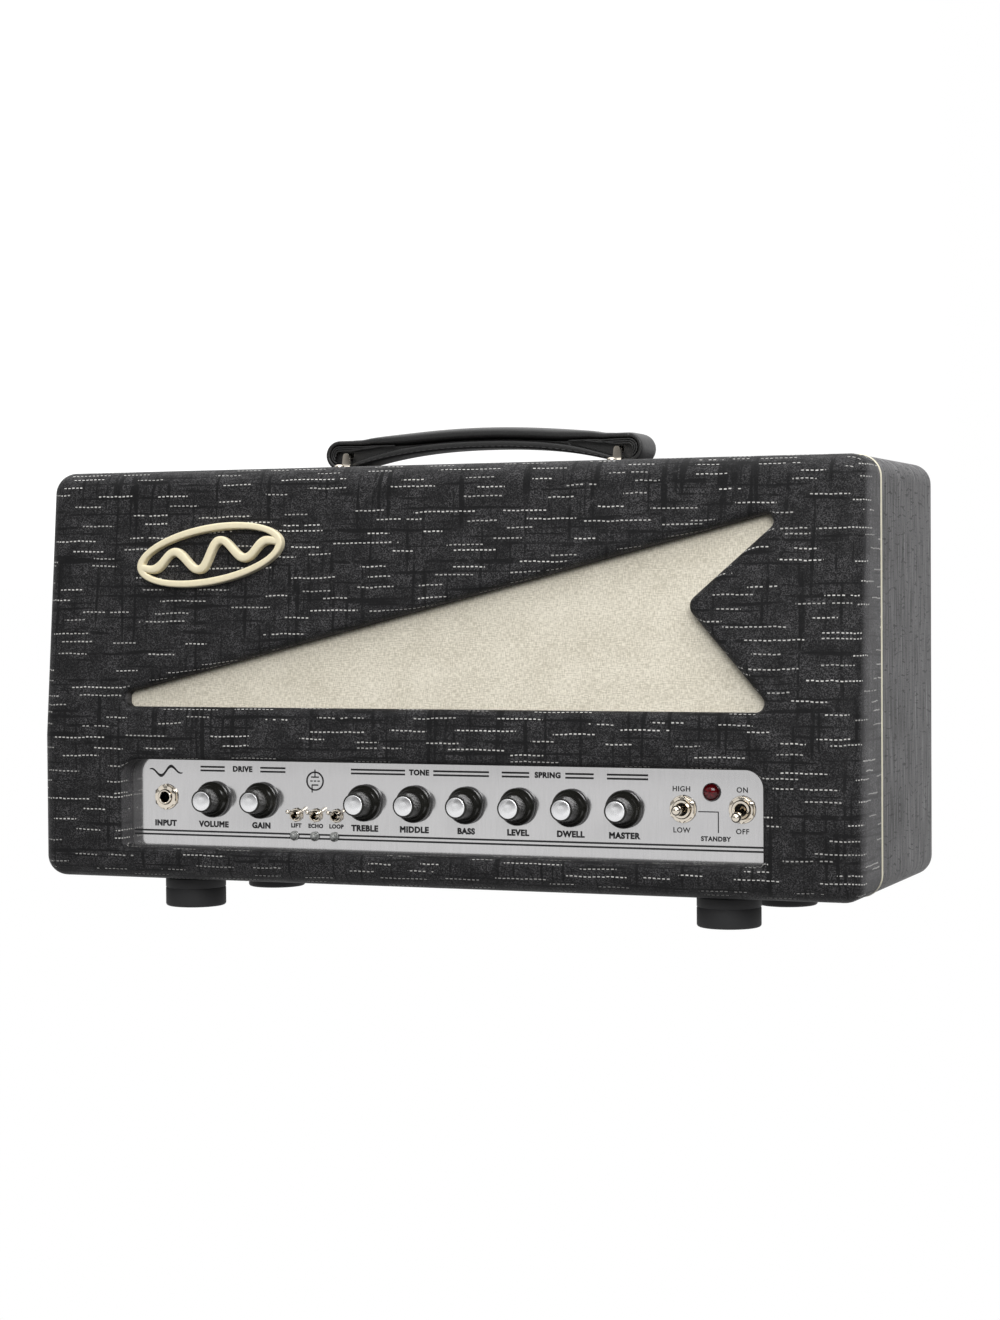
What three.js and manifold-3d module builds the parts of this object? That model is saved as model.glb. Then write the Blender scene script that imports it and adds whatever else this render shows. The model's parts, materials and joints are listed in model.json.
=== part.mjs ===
// Valve guitar amplifier head: covered wooden cabinet, recessed control panel, chassis, valves and handle.
// Millimetres, +Z up. Origin: on the floor under the middle of the whole object's box; the front faces -Y.
// In the group called head, y is the depth behind the lower front face and z the height above the
// underside of the cabinet, so every depth and height below is measured from those two planes.
import * as THREE from 'three';
import { mergeVertices } from 'three/addons/utils/BufferGeometryUtils.js';
import Module from 'manifold-3d';

const wasm = await Module();
wasm.setup();

// ---------------------------------------------------------------- driving dimensions
const GAP = 0.3;

const CABINET_WIDTH = 525;
const CABINET_HEIGHT = 252;
const CABINET_DEPTH = 181;
const WALL = 16;
const EDGE_RADIUS = 12.7;
const REAR_EDGE_RADIUS = 7;
const CREASE_HEIGHT = 88;
const LEAN = THREE.MathUtils.degToRad(5.39);
const FRAME_DEPTH = 45.6;
const WELT_WIDTH = 2.6;
const WELT_PROUD = 0.5;
const SHELL_FRONT = FRAME_DEPTH + WELT_WIDTH + 2 * GAP;

const LOWER_BOARD = 15.2;
const UPPER_BOARD = 9.5;
const PANEL_FACE = 15.5;
const PANEL_THICKNESS = 1.6;
const PANEL_WINDOW = { halfWidth: 205, low: 19.5, high: 74, topRadius: 10.5, bottomRadius: 3, roundover: 4 };
const GRILLE_ROUNDOVER = 5;

const SHEET = 1.5;
const CHASSIS_FRONT = PANEL_FACE + PANEL_THICKNESS + GAP;
const CHASSIS_REAR = 167.5;
const CHASSIS_HALF_WIDTH = 236;
const CHASSIS_LOW = 17;
const CHASSIS_TOP = 80;
const FLANGE_LOW = 66;
const BEHIND_WALL = CHASSIS_FRONT + SHEET + GAP;
const REAR_PANEL_FACE = 169.4;

const FOOT_RADIUS = 19.05;
const FOOT_HEIGHT = 19.05;
const FRONT_FEET = { halfSpan: 174, depth: 39 };
const REAR_FEET = { halfSpan: 176, depth: 156.5 };

const KNOB_HEIGHT = 49.3;
const KNOBS = [
  ['volume_knob', -148.3],
  ['gain_knob', -115.7],
  ['treble_knob', -46.4],
  ['middle_knob', -14],
  ['bass_knob', 19.5],
  ['reverb_knob', 52.5],
  ['dwell_knob', 85.4],
  ['master_knob', 118.5],
];
const KNOB_REACH = 17.3;
const KNOB_GAP = 0.8;
const KNOB_RADIUS = 11.3;

const INPUT_PLACE = { x: -181.1, z: 50.2 };
const CLASS_PLACE = { x: 154, z: 50.3 };
const POWER_PLACE = { x: 189.3, z: 50.7 };
const JEWEL_PLACE = { x: 171.2, z: 60.3 };
const MINI_SWITCHES = [['boost', -92], ['reverb', -78.9], ['loop', -65.1]];
const MINI_HEIGHT = 41.1;
const INDICATORS = [['boost', -93.5], ['reverb', -79.8], ['loop', -66.8]];
const INDICATOR_HEIGHT = 28.3;
const TOGGLE_TILT = THREE.MathUtils.degToRad(14.5);
const MINI_TILT = THREE.MathUtils.degToRad(13);

const HANDLE_CENTRE = 1.7;
const HANDLE_DEPTH = 99;
const HANDLE_WIDTH = 28;
const HANDLE_HALF_LENGTH = 105.5;
const BRACKET_PLACE = 90;

const INLET_PLACE = { x: 196, z: 48 };
const FUSE_PLACE = { x: 150, z: 48 };
const REAR_JACKS = [
  ['speaker_jack_1', 84],
  ['speaker_jack_2', 54],
  ['loop_return_jack', -60],
  ['loop_send_jack', -90],
  ['footswitch_jack', -140],
];
const REAR_JACK_HEIGHT = 50;

const POWER_TUBES = [-14, 42];
const POWER_TUBE_DEPTH = 118;
const PREAMP_TUBES = [-206, -162, -118, -74];
const PREAMP_TUBE_DEPTH = 72;
const TUBE_SEAT = CHASSIS_TOP + 3;
const CAPACITOR_PLACE = { x: -60, y: 132 };

// The whole object's depth runs from the knob caps to the rear edge of the cabinet.
const FRONT_REACH = PANEL_FACE - KNOB_REACH;
const MID_DEPTH = (FRONT_REACH + CABINET_DEPTH) / 2;

// ---------------------------------------------------------------- finishes
const finish = (color, roughness, metalness) =>
  new THREE.MeshStandardMaterial({ color, roughness, metalness });
const VINYL = finish(0x1b1b1c, 0.6, 0);
const PIPING = finish(0xd9cfae, 0.55, 0);
const CLOTH = finish(0xcfc6b2, 0.95, 0);
const PLYWOOD = finish(0xb08a5c, 0.8, 0);
const CREAM = finish(0xe6dcb4, 0.35, 0);
const RUBBER = finish(0x141414, 0.85, 0);
const LEATHER = finish(0x151515, 0.45, 0);
const NICKEL = finish(0xd6d0c8, 0.2, 1);
const STEEL = finish(0xa9aaab, 0.4, 1);
const PANEL_METAL = finish(0xc2c3c6, 0.35, 1);
const BLACK_METAL = finish(0x17181a, 0.45, 0.6);
const KNOB_PLASTIC = finish(0x0f0f10, 0.3, 0);
const BOARD_GREEN = finish(0x1d4a33, 0.5, 0);
const CORE = finish(0x202123, 0.5, 0.5);
const GLASS = finish(0xc9d2d0, 0.05, 0);
const JEWEL_RED = finish(0x5e0a10, 0.1, 0);
const CLEAR_LENS = finish(0xd7dadd, 0.1, 0);
const BLACK_PLASTIC = finish(0x131313, 0.5, 0);
const ALUMINIUM = finish(0xbfc1c4, 0.35, 1);

// ---------------------------------------------------------------- solids and booleans
function toSolid(geometry) {
  const bare = geometry.clone();
  bare.deleteAttribute('normal');
  bare.deleteAttribute('uv');
  const merged = mergeVertices(bare, 1e-4);
  const triangles = [];
  const index = merged.index.array;
  for (let i = 0; i < index.length; i += 3) {
    const [a, b, c] = [index[i], index[i + 1], index[i + 2]];
    if (a !== b && b !== c && c !== a) triangles.push(a, b, c);
  }
  return new wasm.Manifold(new wasm.Mesh({
    numProp: 3,
    vertProperties: new Float32Array(merged.attributes.position.array),
    triVerts: new Uint32Array(triangles),
  }));
}

function toGeometry(solid) {
  const mesh = solid.getMesh();
  const geometry = new THREE.BufferGeometry();
  geometry.setAttribute('position', new THREE.BufferAttribute(mesh.vertProperties, 3));
  geometry.setIndex(new THREE.BufferAttribute(mesh.triVerts, 1));
  return geometry;
}

function join(...geometries) {
  return toGeometry(geometries.map(toSolid).reduce((whole, piece) => whole.add(piece)));
}

function cut(base, ...tools) {
  return toGeometry(tools.map(toSolid).reduce((whole, tool) => whole.subtract(tool), toSolid(base)));
}

// ---------------------------------------------------------------- shape helpers
const box = (x, y, z) =>
  new THREE.BoxGeometry(x[1] - x[0], y[1] - y[0], z[1] - z[0])
    .translate((x[0] + x[1]) / 2, (y[0] + y[1]) / 2, (z[0] + z[1]) / 2);

const around = (middle, half) => [middle - half, middle + half];

// A body turned about the Y axis. The profile is a list of [radius, y] that ends on the axis, from low y up.
function turned(profile, sides) {
  return new THREE.LatheGeometry(profile.map(([r, y]) => new THREE.Vector2(r, y)), sides);
}

function rodY(radius, y, sides, at = { x: 0, z: 0 }) {
  return new THREE.CylinderGeometry(radius, radius, y[1] - y[0], sides)
    .translate(at.x, (y[0] + y[1]) / 2, at.z);
}

function rodZ(radius, z, sides, at) {
  return new THREE.CylinderGeometry(radius, radius, z[1] - z[0], sides)
    .rotateX(Math.PI / 2)
    .translate(at.x, at.y, (z[0] + z[1]) / 2);
}

function flatShape(points) {
  return new THREE.Shape(points.map(([u, v]) => new THREE.Vector2(u, v)));
}

// Prism of an outline of [y, z] points, along X.
function prismX(outline, x) {
  const turn = new THREE.Matrix4().makeBasis(
    new THREE.Vector3(0, 1, 0), new THREE.Vector3(0, 0, 1), new THREE.Vector3(1, 0, 0));
  return new THREE.ExtrudeGeometry(flatShape(outline), { depth: x[1] - x[0], bevelEnabled: false })
    .applyMatrix4(turn).translate(x[0], 0, 0);
}

// Prism of an outline of [x, z] points, along Y.
function prismY(outline, y) {
  const turn = new THREE.Matrix4().makeBasis(
    new THREE.Vector3(1, 0, 0), new THREE.Vector3(0, 0, 1), new THREE.Vector3(0, -1, 0));
  return new THREE.ExtrudeGeometry(flatShape(outline), { depth: y[1] - y[0], bevelEnabled: false })
    .applyMatrix4(turn).translate(0, y[1], 0);
}

// Rounded corners of an outline given anticlockwise as {u, v, r}. The result is a function of how far the
// outline is grown, so two outlines of one shape always have the same number of points.
function roundedOutline(corners, steps) {
  const arcs = corners.map((corner, i) => {
    const here = new THREE.Vector2(corner.u, corner.v);
    const before = corners[(i + corners.length - 1) % corners.length];
    const after = corners[(i + 1) % corners.length];
    const back = new THREE.Vector2(before.u, before.v).sub(here).normalize();
    const ahead = new THREE.Vector2(after.u, after.v).sub(here).normalize();
    const halfAngle = Math.acos(back.dot(ahead)) / 2;
    const convex = back.cross(ahead) < 0;
    const middle = back.clone().add(ahead).normalize()
      .multiplyScalar(corner.r / Math.sin(halfAngle)).add(here);
    const run = corner.r / Math.tan(halfAngle);
    const toTangent = (way) => way.clone().multiplyScalar(run).add(here).sub(middle);
    const [from, to] = [toTangent(back).normalize(), toTangent(ahead).normalize()];
    return { middle, from, to, convex, r: corner.r };
  });
  return (grow) => arcs.flatMap(({ middle, from, to, convex, r }) => {
    const radius = convex ? r + grow : r - grow;
    const turn = Math.atan2(from.cross(to), from.dot(to));
    return Array.from({ length: steps + 1 }, (_, k) => {
      const way = from.clone().rotateAround(new THREE.Vector2(), turn * k / steps);
      return [middle.x + way.x * radius, middle.y + way.y * radius];
    });
  });
}

function rectangleCorners(halfWidth, low, high, bottomRadius, topRadius) {
  return [
    { u: halfWidth, v: low, r: bottomRadius },
    { u: halfWidth, v: high, r: topRadius },
    { u: -halfWidth, v: high, r: topRadius },
    { u: -halfWidth, v: low, r: bottomRadius },
  ];
}

// Skin over rings of equal length, each a list of [x, y, z]. The cap triangles close its ends, or the
// last ring joins the first one.
function skin(rings, caps) {
  const count = rings[0].length;
  const positions = rings.flat(2);
  const index = [];
  const last = caps ? rings.length - 1 : rings.length;
  for (let r = 0; r < last; r += 1) {
    const next = (r + 1) % rings.length;
    for (let i = 0; i < count; i += 1) {
      const j = (i + 1) % count;
      index.push(r * count + i, r * count + j, next * count + j);
      index.push(r * count + i, next * count + j, next * count + i);
    }
  }
  if (caps) {
    const offset = (rings.length - 1) * count;
    for (const [a, b, c] of caps) {
      index.push(c, b, a);
      index.push(a + offset, b + offset, c + offset);
    }
  }
  const geometry = new THREE.BufferGeometry();
  geometry.setAttribute('position', new THREE.Float32BufferAttribute(positions, 3));
  geometry.setIndex(index);
  return geometry;
}

// Skin over one outline of [x, z] points at several depths, from rear to front: stations are [y, grow].
function flaredPrism(outline, stations) {
  const rings = stations.map(([y, grow]) => outline(grow).map(([x, z]) => [x, y, z]));
  const flat = outline(0).map(([x, z]) => new THREE.Vector2(x, z));
  return skin(rings, THREE.ShapeUtils.triangulateShape(flat, []));
}

// Stations of a quarter-round edge of an opening, from the straight wall to the face at y = 0.
function roundoverStations(radius, steps) {
  return Array.from({ length: steps + 1 }, (_, k) => {
    const angle = Math.PI / 2 * k / steps;
    return [radius - radius * Math.sin(angle), radius - radius * Math.cos(angle)];
  });
}

// ---------------------------------------------------------------- scene graph
const group = new THREE.Group();
const head = new THREE.Group();
head.position.set(0, -MID_DEPTH, FOOT_HEIGHT);
group.add(head);

// The leaning upper front: its own x runs along the crease, y into the cabinet and z up the slope.
const slope = new THREE.Group();
slope.position.set(0, 0, CREASE_HEIGHT);
slope.rotation.x = -LEAN;
head.add(slope);

function place(name, geometry, material, parent = head) {
  const mesh = new THREE.Mesh(geometry, material);
  mesh.name = name;
  parent.add(mesh);
  return mesh;
}

// ---------------------------------------------------------------- cabinet
const leanAt = (z) => Math.max(0, z - CREASE_HEIGHT) * Math.tan(LEAN);

// One cross-section of the cabinet, with two extra points on the crease line.
function cabinetRing(inset, steps) {
  const radius = EDGE_RADIUS - inset;
  const corners = rectangleCorners(
    CABINET_WIDTH / 2 - inset, inset, CABINET_HEIGHT - inset, radius, radius);
  const points = roundedOutline(corners, steps)(0);
  const side = CABINET_WIDTH / 2 - inset;
  points.splice(2 * (steps + 1) + steps + 1, 0, [-side, CREASE_HEIGHT]);
  points.splice(steps + 1, 0, [side, CREASE_HEIGHT]);
  return points;
}

function frontFrameBlock() {
  const steps = 4;
  const rings = [cabinetRing(0, steps).map(([x, z]) => [x, FRAME_DEPTH, z])];
  for (let k = steps; k >= 0; k -= 1) {
    const angle = Math.PI / 2 * k / steps;
    const inset = EDGE_RADIUS * (1 - Math.sin(angle));
    const depth = EDGE_RADIUS * (1 - Math.cos(angle));
    rings.push(cabinetRing(Math.min(inset, EDGE_RADIUS - 1e-3), steps)
      .map(([x, z]) => [x, depth + leanAt(z), z]));
  }
  const count = rings[0].length;
  const rightCrease = steps + 1;
  const leftCrease = rightCrease + 1 + 2 * (steps + 1);
  const caps = [];
  for (let i = rightCrease + 1; i < leftCrease; i += 1) caps.push([rightCrease, i, i + 1]);
  for (let i = leftCrease + 1; i < count + rightCrease; i += 1) {
    caps.push([leftCrease, i % count, (i + 1) % count]);
  }
  return skin(rings, caps);
}

const panelWindow = roundedOutline(rectangleCorners(
  PANEL_WINDOW.halfWidth, PANEL_WINDOW.low, PANEL_WINDOW.high,
  PANEL_WINDOW.bottomRadius, PANEL_WINDOW.topRadius), 4);

// The grille window: a long pointed wedge with a notched right end, in x and height up the slope.
const grilleWindow = roundedOutline([
  { u: -203, v: 19, r: 4 },
  { u: 211.2, v: 19, r: 5 },
  { u: 157, v: 80.1, r: 6.8 },
  { u: 220.9, v: 136.4, r: 4.6 },
  { u: -203, v: 28.2, r: 4 },
], 3);

const toSlope = (geometry) => geometry.rotateX(-LEAN).translate(0, 0, CREASE_HEIGHT);

function frontFrame() {
  const high = CABINET_HEIGHT - WALL;
  const behindUpper = (z) => leanAt(z) + UPPER_BOARD / Math.cos(LEAN);
  const hollow = prismX([
    [FRAME_DEPTH + 1, WALL],
    [FRAME_DEPTH + 1, high],
    [behindUpper(high), high],
    [behindUpper(CREASE_HEIGHT + 3), CREASE_HEIGHT + 3],
    [LOWER_BOARD, CREASE_HEIGHT + 3],
    [LOWER_BOARD, WALL],
  ].reverse(), around(0, CABINET_WIDTH / 2 - WALL));
  const panelCut = flaredPrism(panelWindow, [
    [LOWER_BOARD + 1, 0],
    ...roundoverStations(PANEL_WINDOW.roundover, 3),
    [-1, PANEL_WINDOW.roundover],
  ]);
  const grilleCut = toSlope(flaredPrism(grilleWindow, [
    [UPPER_BOARD + 2, 0],
    ...roundoverStations(GRILLE_ROUNDOVER, 3),
    [-1, GRILLE_ROUNDOVER],
  ]));
  return cut(frontFrameBlock(), hollow, panelCut, grilleCut);
}

function weltPiping() {
  const steps = 4;
  const corners = rectangleCorners(
    CABINET_WIDTH / 2, 0, CABINET_HEIGHT, EDGE_RADIUS, EDGE_RADIUS);
  const outline = roundedOutline(corners, steps);
  const front = FRAME_DEPTH + GAP;
  const rear = front + WELT_WIDTH;
  const stations = [
    [rear, -5], [rear, 0], [rear - 0.6, WELT_PROUD], [front + 0.6, WELT_PROUD], [front, 0], [front, -5],
  ];
  return skin(stations.map(([y, grow]) => outline(grow).map(([x, z]) => [x, y, z])), null);
}

const CLEAT = 12;
const CLEAT_DEPTH = [151, 165.4];

// The box, with a cleat along each side and the top that the rear cover is screwed to.
function cabinetShell() {
  const steps = 4;
  const outer = roundedOutline(rectangleCorners(
    CABINET_WIDTH / 2, 0, CABINET_HEIGHT, EDGE_RADIUS, EDGE_RADIUS), steps);
  const inner = roundedOutline(rectangleCorners(
    CABINET_WIDTH / 2 - WALL, WALL, CABINET_HEIGHT - WALL, 2, 2), steps);
  const ring = (outline, y, grow) => outline(grow).map(([x, z]) => [x, y, z]);
  const rearEdge = roundoverStations(REAR_EDGE_RADIUS, 3)
    .map(([y, grow]) => ring(outer, CABINET_DEPTH - y, -grow)).reverse();
  const tube = skin([
    ring(inner, SHELL_FRONT, 0), ring(inner, CABINET_DEPTH, 0),
    ...rearEdge, ring(outer, SHELL_FRONT, 0),
  ], null);
  const inside = CABINET_WIDTH / 2 - WALL;
  const ceiling = CABINET_HEIGHT - WALL;
  const sideCleat = (side) => box(around(side * (inside - CLEAT / 2 + 0.5), CLEAT / 2 + 0.5),
    CLEAT_DEPTH, [CHASSIS_TOP + 4, ceiling + 1]);
  const topCleat = box(around(0, inside - CLEAT + 1), CLEAT_DEPTH, [ceiling - CLEAT, ceiling + 1]);
  return join(tube, sideCleat(1), sideCleat(-1), topCleat);
}

const COVER = { halfWidth: 245.5, low: CHASSIS_TOP + 3, high: 235, front: 165.8, rear: 176 };
const VENT = {
  halfWidth: 150,
  low: 108,
  high: 190,
  border: 10,
  columns: 14,
  slot: { halfWidth: 8, halfHeight: 17, fromMiddle: 20 },
};

function rearCover() {
  const plate = box(around(0, COVER.halfWidth), [COVER.front, COVER.rear], [COVER.low, COVER.high]);
  const opening = roundedOutline(rectangleCorners(VENT.halfWidth, VENT.low, VENT.high, 8, 8), 4);
  return cut(plate, prismY(opening(0), [COVER.front - 1, COVER.rear + 1]));
}

function ventGrille() {
  const rear = COVER.front - GAP;
  const { halfWidth, low, high, border, columns, slot } = VENT;
  const plate = box(around(0, halfWidth + border), [rear - 1.2, rear], [low - border, high + border]);
  const pitch = 2 * halfWidth / columns;
  const slots = [];
  for (let i = 0; i < columns; i += 1) {
    const x = -halfWidth + pitch * (i + 0.5);
    for (const side of [-1, 1]) {
      const z = (low + high) / 2 + side * slot.fromMiddle;
      slots.push(box(around(x, slot.halfWidth), [rear - 3, rear + 2], around(z, slot.halfHeight)));
    }
  }
  return cut(plate, ...slots);
}

place('front_frame', frontFrame(), VINYL);
place('welt_piping', weltPiping(), PIPING);
place('cabinet_shell', cabinetShell(), VINYL);
place('rear_cover', rearCover(), VINYL);
place('vent_grille', ventGrille(), BLACK_METAL);

const CLOTH_THICKNESS = 1.2;
const BOARD_THICKNESS = 6;
const boardSpan = [6, 146];
const clothFace = UPPER_BOARD + GAP;
const boardFace = clothFace + CLOTH_THICKNESS + GAP;
place('grille_cloth',
  box(around(0, 240), [clothFace, clothFace + CLOTH_THICKNESS], boardSpan), CLOTH, slope);
place('grille_board',
  box(around(0, 240), [boardFace, boardFace + BOARD_THICKNESS], boardSpan), PLYWOOD, slope);

// ---------------------------------------------------------------- badge
const BADGE = {
  centre: { x: -145.5, z: 111.5 },
  halfLong: 50,
  halfShort: 18.5,
  tilt: THREE.MathUtils.degToRad(9),
  depth: [-5, -GAP],
  ringWidth: 4.4,
  sides: 28,
};
const BADGE_WAVE = { height: 8, halfThickness: 2.4, reach: BADGE.halfLong - 2.5, steps: 22, halfPeriods: 3 };

// A tilted oval ring with a wave across it.
function badge() {
  const ellipse = (shrink) => Array.from({ length: BADGE.sides }, (_, k) => {
    const angle = Math.PI * 2 * k / BADGE.sides;
    return [(BADGE.halfLong - shrink) * Math.cos(angle), (BADGE.halfShort - shrink) * Math.sin(angle)];
  });
  const waveAt = (k, offset) => {
    const x = BADGE_WAVE.reach * (2 * k / BADGE_WAVE.steps - 1);
    const along = Math.PI * x / BADGE.halfLong;
    return [x, BADGE_WAVE.height * Math.cos(along / 2) * Math.sin(BADGE_WAVE.halfPeriods * along) + offset];
  };
  const count = { length: BADGE_WAVE.steps + 1 };
  const lower = Array.from(count, (_, k) => waveAt(k, -BADGE_WAVE.halfThickness));
  const upper = Array.from(count, (_, k) => waveAt(BADGE_WAVE.steps - k, BADGE_WAVE.halfThickness));
  const [front, back] = BADGE.depth;
  const ring = cut(prismY(ellipse(0), BADGE.depth), prismY(ellipse(BADGE.ringWidth), [front - 1, back + 1]));
  return join(ring, prismY([...lower, ...upper], BADGE.depth))
    .rotateY(-BADGE.tilt).translate(BADGE.centre.x, 0, BADGE.centre.z);
}
place('badge', badge(), CREAM, slope);

// ---------------------------------------------------------------- feet
const SCREW_RECESS = { radius: 6.5, depth: 9 };

// A rubber foot, hollow below for its screw, with a softened lower rim.
function foot() {
  const top = -WELT_PROUD - GAP;
  const floor = -FOOT_HEIGHT;
  return turned([
    [0, floor + SCREW_RECESS.depth], [SCREW_RECESS.radius, floor + SCREW_RECESS.depth],
    [SCREW_RECESS.radius, floor], [FOOT_RADIUS - 2, floor], [FOOT_RADIUS - 0.6, floor + 0.6],
    [FOOT_RADIUS, floor + 2], [FOOT_RADIUS, top], [0, top],
  ], 18).rotateX(Math.PI / 2);
}
for (const [end, { halfSpan, depth }] of [['front', FRONT_FEET], ['rear', REAR_FEET]]) {
  for (const [side, sign] of [['left', -1], ['right', 1]]) {
    place(`foot_${end}_${side}`, foot(), RUBBER).position.set(sign * halfSpan, depth, 0);
  }
}

// ---------------------------------------------------------------- carrying handle and its brackets
const BAR_HEIGHT = 9.4;
const BAR_RADIUS = 1.6;
const BRACKET = { inside: HANDLE_WIDTH / 2 + 0.6, thickness: 2.2, flange: 15, flangeHeight: 1.6, base: GAP };

// A bridge over the strap: a tapered leg with a flange at each side, and the bar between them.
function handleBracket() {
  const { inside, thickness, flange, flangeHeight, base } = BRACKET;
  const legOutline = [
    [-3.1, base], [3.1, base], [2.1, BAR_HEIGHT - 0.4], [1.4, BAR_HEIGHT + 1.7],
    [-1.4, BAR_HEIGHT + 1.7], [-2.1, BAR_HEIGHT - 0.4],
  ];
  const outward = (side, reach) => (side > 0 ? [inside, inside + reach] : [-inside - reach, -inside]);
  const leg = (side) => prismY(legOutline, outward(side, thickness));
  const foot = (side) => box(around(0, 4), outward(side, flange), [base, base + flangeHeight]);
  const bar = rodY(BAR_RADIUS, around(0, inside + 1), 12, { x: 0, z: BAR_HEIGHT });
  return join(leg(1), leg(-1), foot(1), foot(-1), bar);
}

const STRAP = {
  topEnd: 88,
  lowerEnd: 92,
  topAt: (x) => 19.5 + 6 * Math.cos(Math.PI / 2 * x / STRAP.topEnd),
  underAt: (x) => 12 - 11.2 * (Math.abs(x) / STRAP.lowerEnd) ** 2.3,
  loopLow: 0.8,
  loopSteps: 8,
  halfSteps: 12,
};
const LOOP_HOLE = { x: 93.5, halfLength: 8, low: 4.2, high: 15.4, radius: 4 };

// Side view of the strap: a shallow padded arch that closes into a loop round each bracket bar.
function carryHandle() {
  const alongStrap = (end, curve) => Array.from({ length: STRAP.halfSteps * 2 + 1 }, (_, k) => {
    const x = end * (1 - k / STRAP.halfSteps);
    return [x, curve(x)];
  });
  const loopRadius = (STRAP.topAt(STRAP.topEnd) - STRAP.loopLow) / 2;
  const loopEnd = (sign) => Array.from({ length: STRAP.loopSteps + 1 }, (_, k) => {
    const angle = Math.PI / 2 - Math.PI * k / STRAP.loopSteps;
    const x = HANDLE_HALF_LENGTH - loopRadius + loopRadius * Math.cos(angle);
    return [sign * x, STRAP.loopLow + loopRadius + loopRadius * Math.sin(angle)];
  });
  const upper = alongStrap(STRAP.topEnd, STRAP.topAt);
  const lower = alongStrap(STRAP.lowerEnd, STRAP.underAt).reverse();
  const depth = around(0, HANDLE_WIDTH / 2);
  const solid = prismY([...upper, ...loopEnd(-1), ...lower, ...loopEnd(1).reverse()], depth);
  const hole = (sign) => {
    const corners = rectangleCorners(LOOP_HOLE.halfLength, LOOP_HOLE.low, LOOP_HOLE.high,
      LOOP_HOLE.radius, LOOP_HOLE.radius);
    return prismY(roundedOutline(corners, 3)(0), [depth[0] - 1, depth[1] + 1])
      .translate(sign * LOOP_HOLE.x, 0, 0);
  };
  return cut(solid, hole(1), hole(-1));
}

for (const [side, sign] of [['left', -1], ['right', 1]]) {
  place(`handle_bracket_${side}`, handleBracket(), NICKEL)
    .position.set(HANDLE_CENTRE + sign * BRACKET_PLACE, HANDLE_DEPTH, CABINET_HEIGHT);
}
place('carry_handle', carryHandle(), LEATHER).position.set(HANDLE_CENTRE, HANDLE_DEPTH, CABINET_HEIGHT);

// ---------------------------------------------------------------- chassis and panels
const POT_HOLE = 4.9;
const TOGGLE_HOLE = 6.4;
const JACK_HOLE = 5.2;
const MINI_HOLE = 3.4;
const LAMP_HOLE = 4.9;
const INDICATOR_HOLE = 2.8;
const OCTAL_HOLE = 17;
const NOVAL_HOLE = 11.5;

function controlPanelHoles(depth) {
  const hole = (radius, x, z) => rodY(radius, depth, 10, { x, z });
  return [
    ...KNOBS.map(([, x]) => hole(POT_HOLE, x, KNOB_HEIGHT)),
    hole(JACK_HOLE, INPUT_PLACE.x, INPUT_PLACE.z),
    hole(TOGGLE_HOLE, CLASS_PLACE.x, CLASS_PLACE.z),
    hole(TOGGLE_HOLE, POWER_PLACE.x, POWER_PLACE.z),
    hole(LAMP_HOLE, JEWEL_PLACE.x, JEWEL_PLACE.z),
    ...MINI_SWITCHES.map(([, x]) => hole(MINI_HOLE, x, MINI_HEIGHT)),
    ...INDICATORS.map(([, x]) => hole(INDICATOR_HOLE, x, INDICATOR_HEIGHT)),
  ];
}

const INLET_CUT = { halfWidth: 15.4, halfHeight: 11.6 };
const FUSE_HOLE = 6.6;

function rearPanelHoles(depth) {
  return [
    box(around(INLET_PLACE.x, INLET_CUT.halfWidth), depth, around(INLET_PLACE.z, INLET_CUT.halfHeight)),
    rodY(FUSE_HOLE, depth, 10, FUSE_PLACE),
    ...REAR_JACKS.map(([, x]) => rodY(JACK_HOLE, depth, 10, { x, z: REAR_JACK_HEIGHT })),
  ];
}

// Folded sheet: a top, two ends and a flange turned down in front, which the control panel is screwed to.
// The rear panel closes its back.
function chassis() {
  const inner = CHASSIS_HALF_WIDTH - SHEET;
  const block = box(around(0, CHASSIS_HALF_WIDTH), [CHASSIS_FRONT, CHASSIS_REAR], [CHASSIS_LOW, CHASSIS_TOP]);
  const hollow = box(around(0, inner), [CHASSIS_FRONT + SHEET, CHASSIS_REAR + 1],
    [CHASSIS_LOW - 1, CHASSIS_TOP - SHEET]);
  const openFront = box(around(0, inner), [CHASSIS_FRONT - 1, CHASSIS_FRONT + SHEET + 1],
    [CHASSIS_LOW - 1, FLANGE_LOW]);
  const topHoles = [
    ...POWER_TUBES.map((x) => rodZ(OCTAL_HOLE, around(CHASSIS_TOP, 4), 12, { x, y: POWER_TUBE_DEPTH })),
    ...PREAMP_TUBES.map((x) => rodZ(NOVAL_HOLE, around(CHASSIS_TOP, 4), 10, { x, y: PREAMP_TUBE_DEPTH })),
  ];
  return cut(block, hollow, openFront, ...topHoles);
}

function controlPanel() {
  const plate = box(around(0, PANEL_WINDOW.halfWidth + 7), [PANEL_FACE, PANEL_FACE + PANEL_THICKNESS],
    [CHASSIS_LOW, CHASSIS_TOP]);
  return cut(plate, ...controlPanelHoles([PANEL_FACE - 1, PANEL_FACE + PANEL_THICKNESS + 1]));
}

function rearPanel() {
  const depth = [REAR_PANEL_FACE - PANEL_THICKNESS, REAR_PANEL_FACE];
  const plate = box(around(0, CHASSIS_HALF_WIDTH), depth, [CHASSIS_LOW, CHASSIS_TOP]);
  return cut(plate, ...rearPanelHoles([depth[0] - 1, depth[1] + 1]));
}

place('chassis', chassis(), STEEL);
place('control_panel', controlPanel(), PANEL_METAL);
place('rear_panel', rearPanel(), BLACK_METAL);

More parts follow.
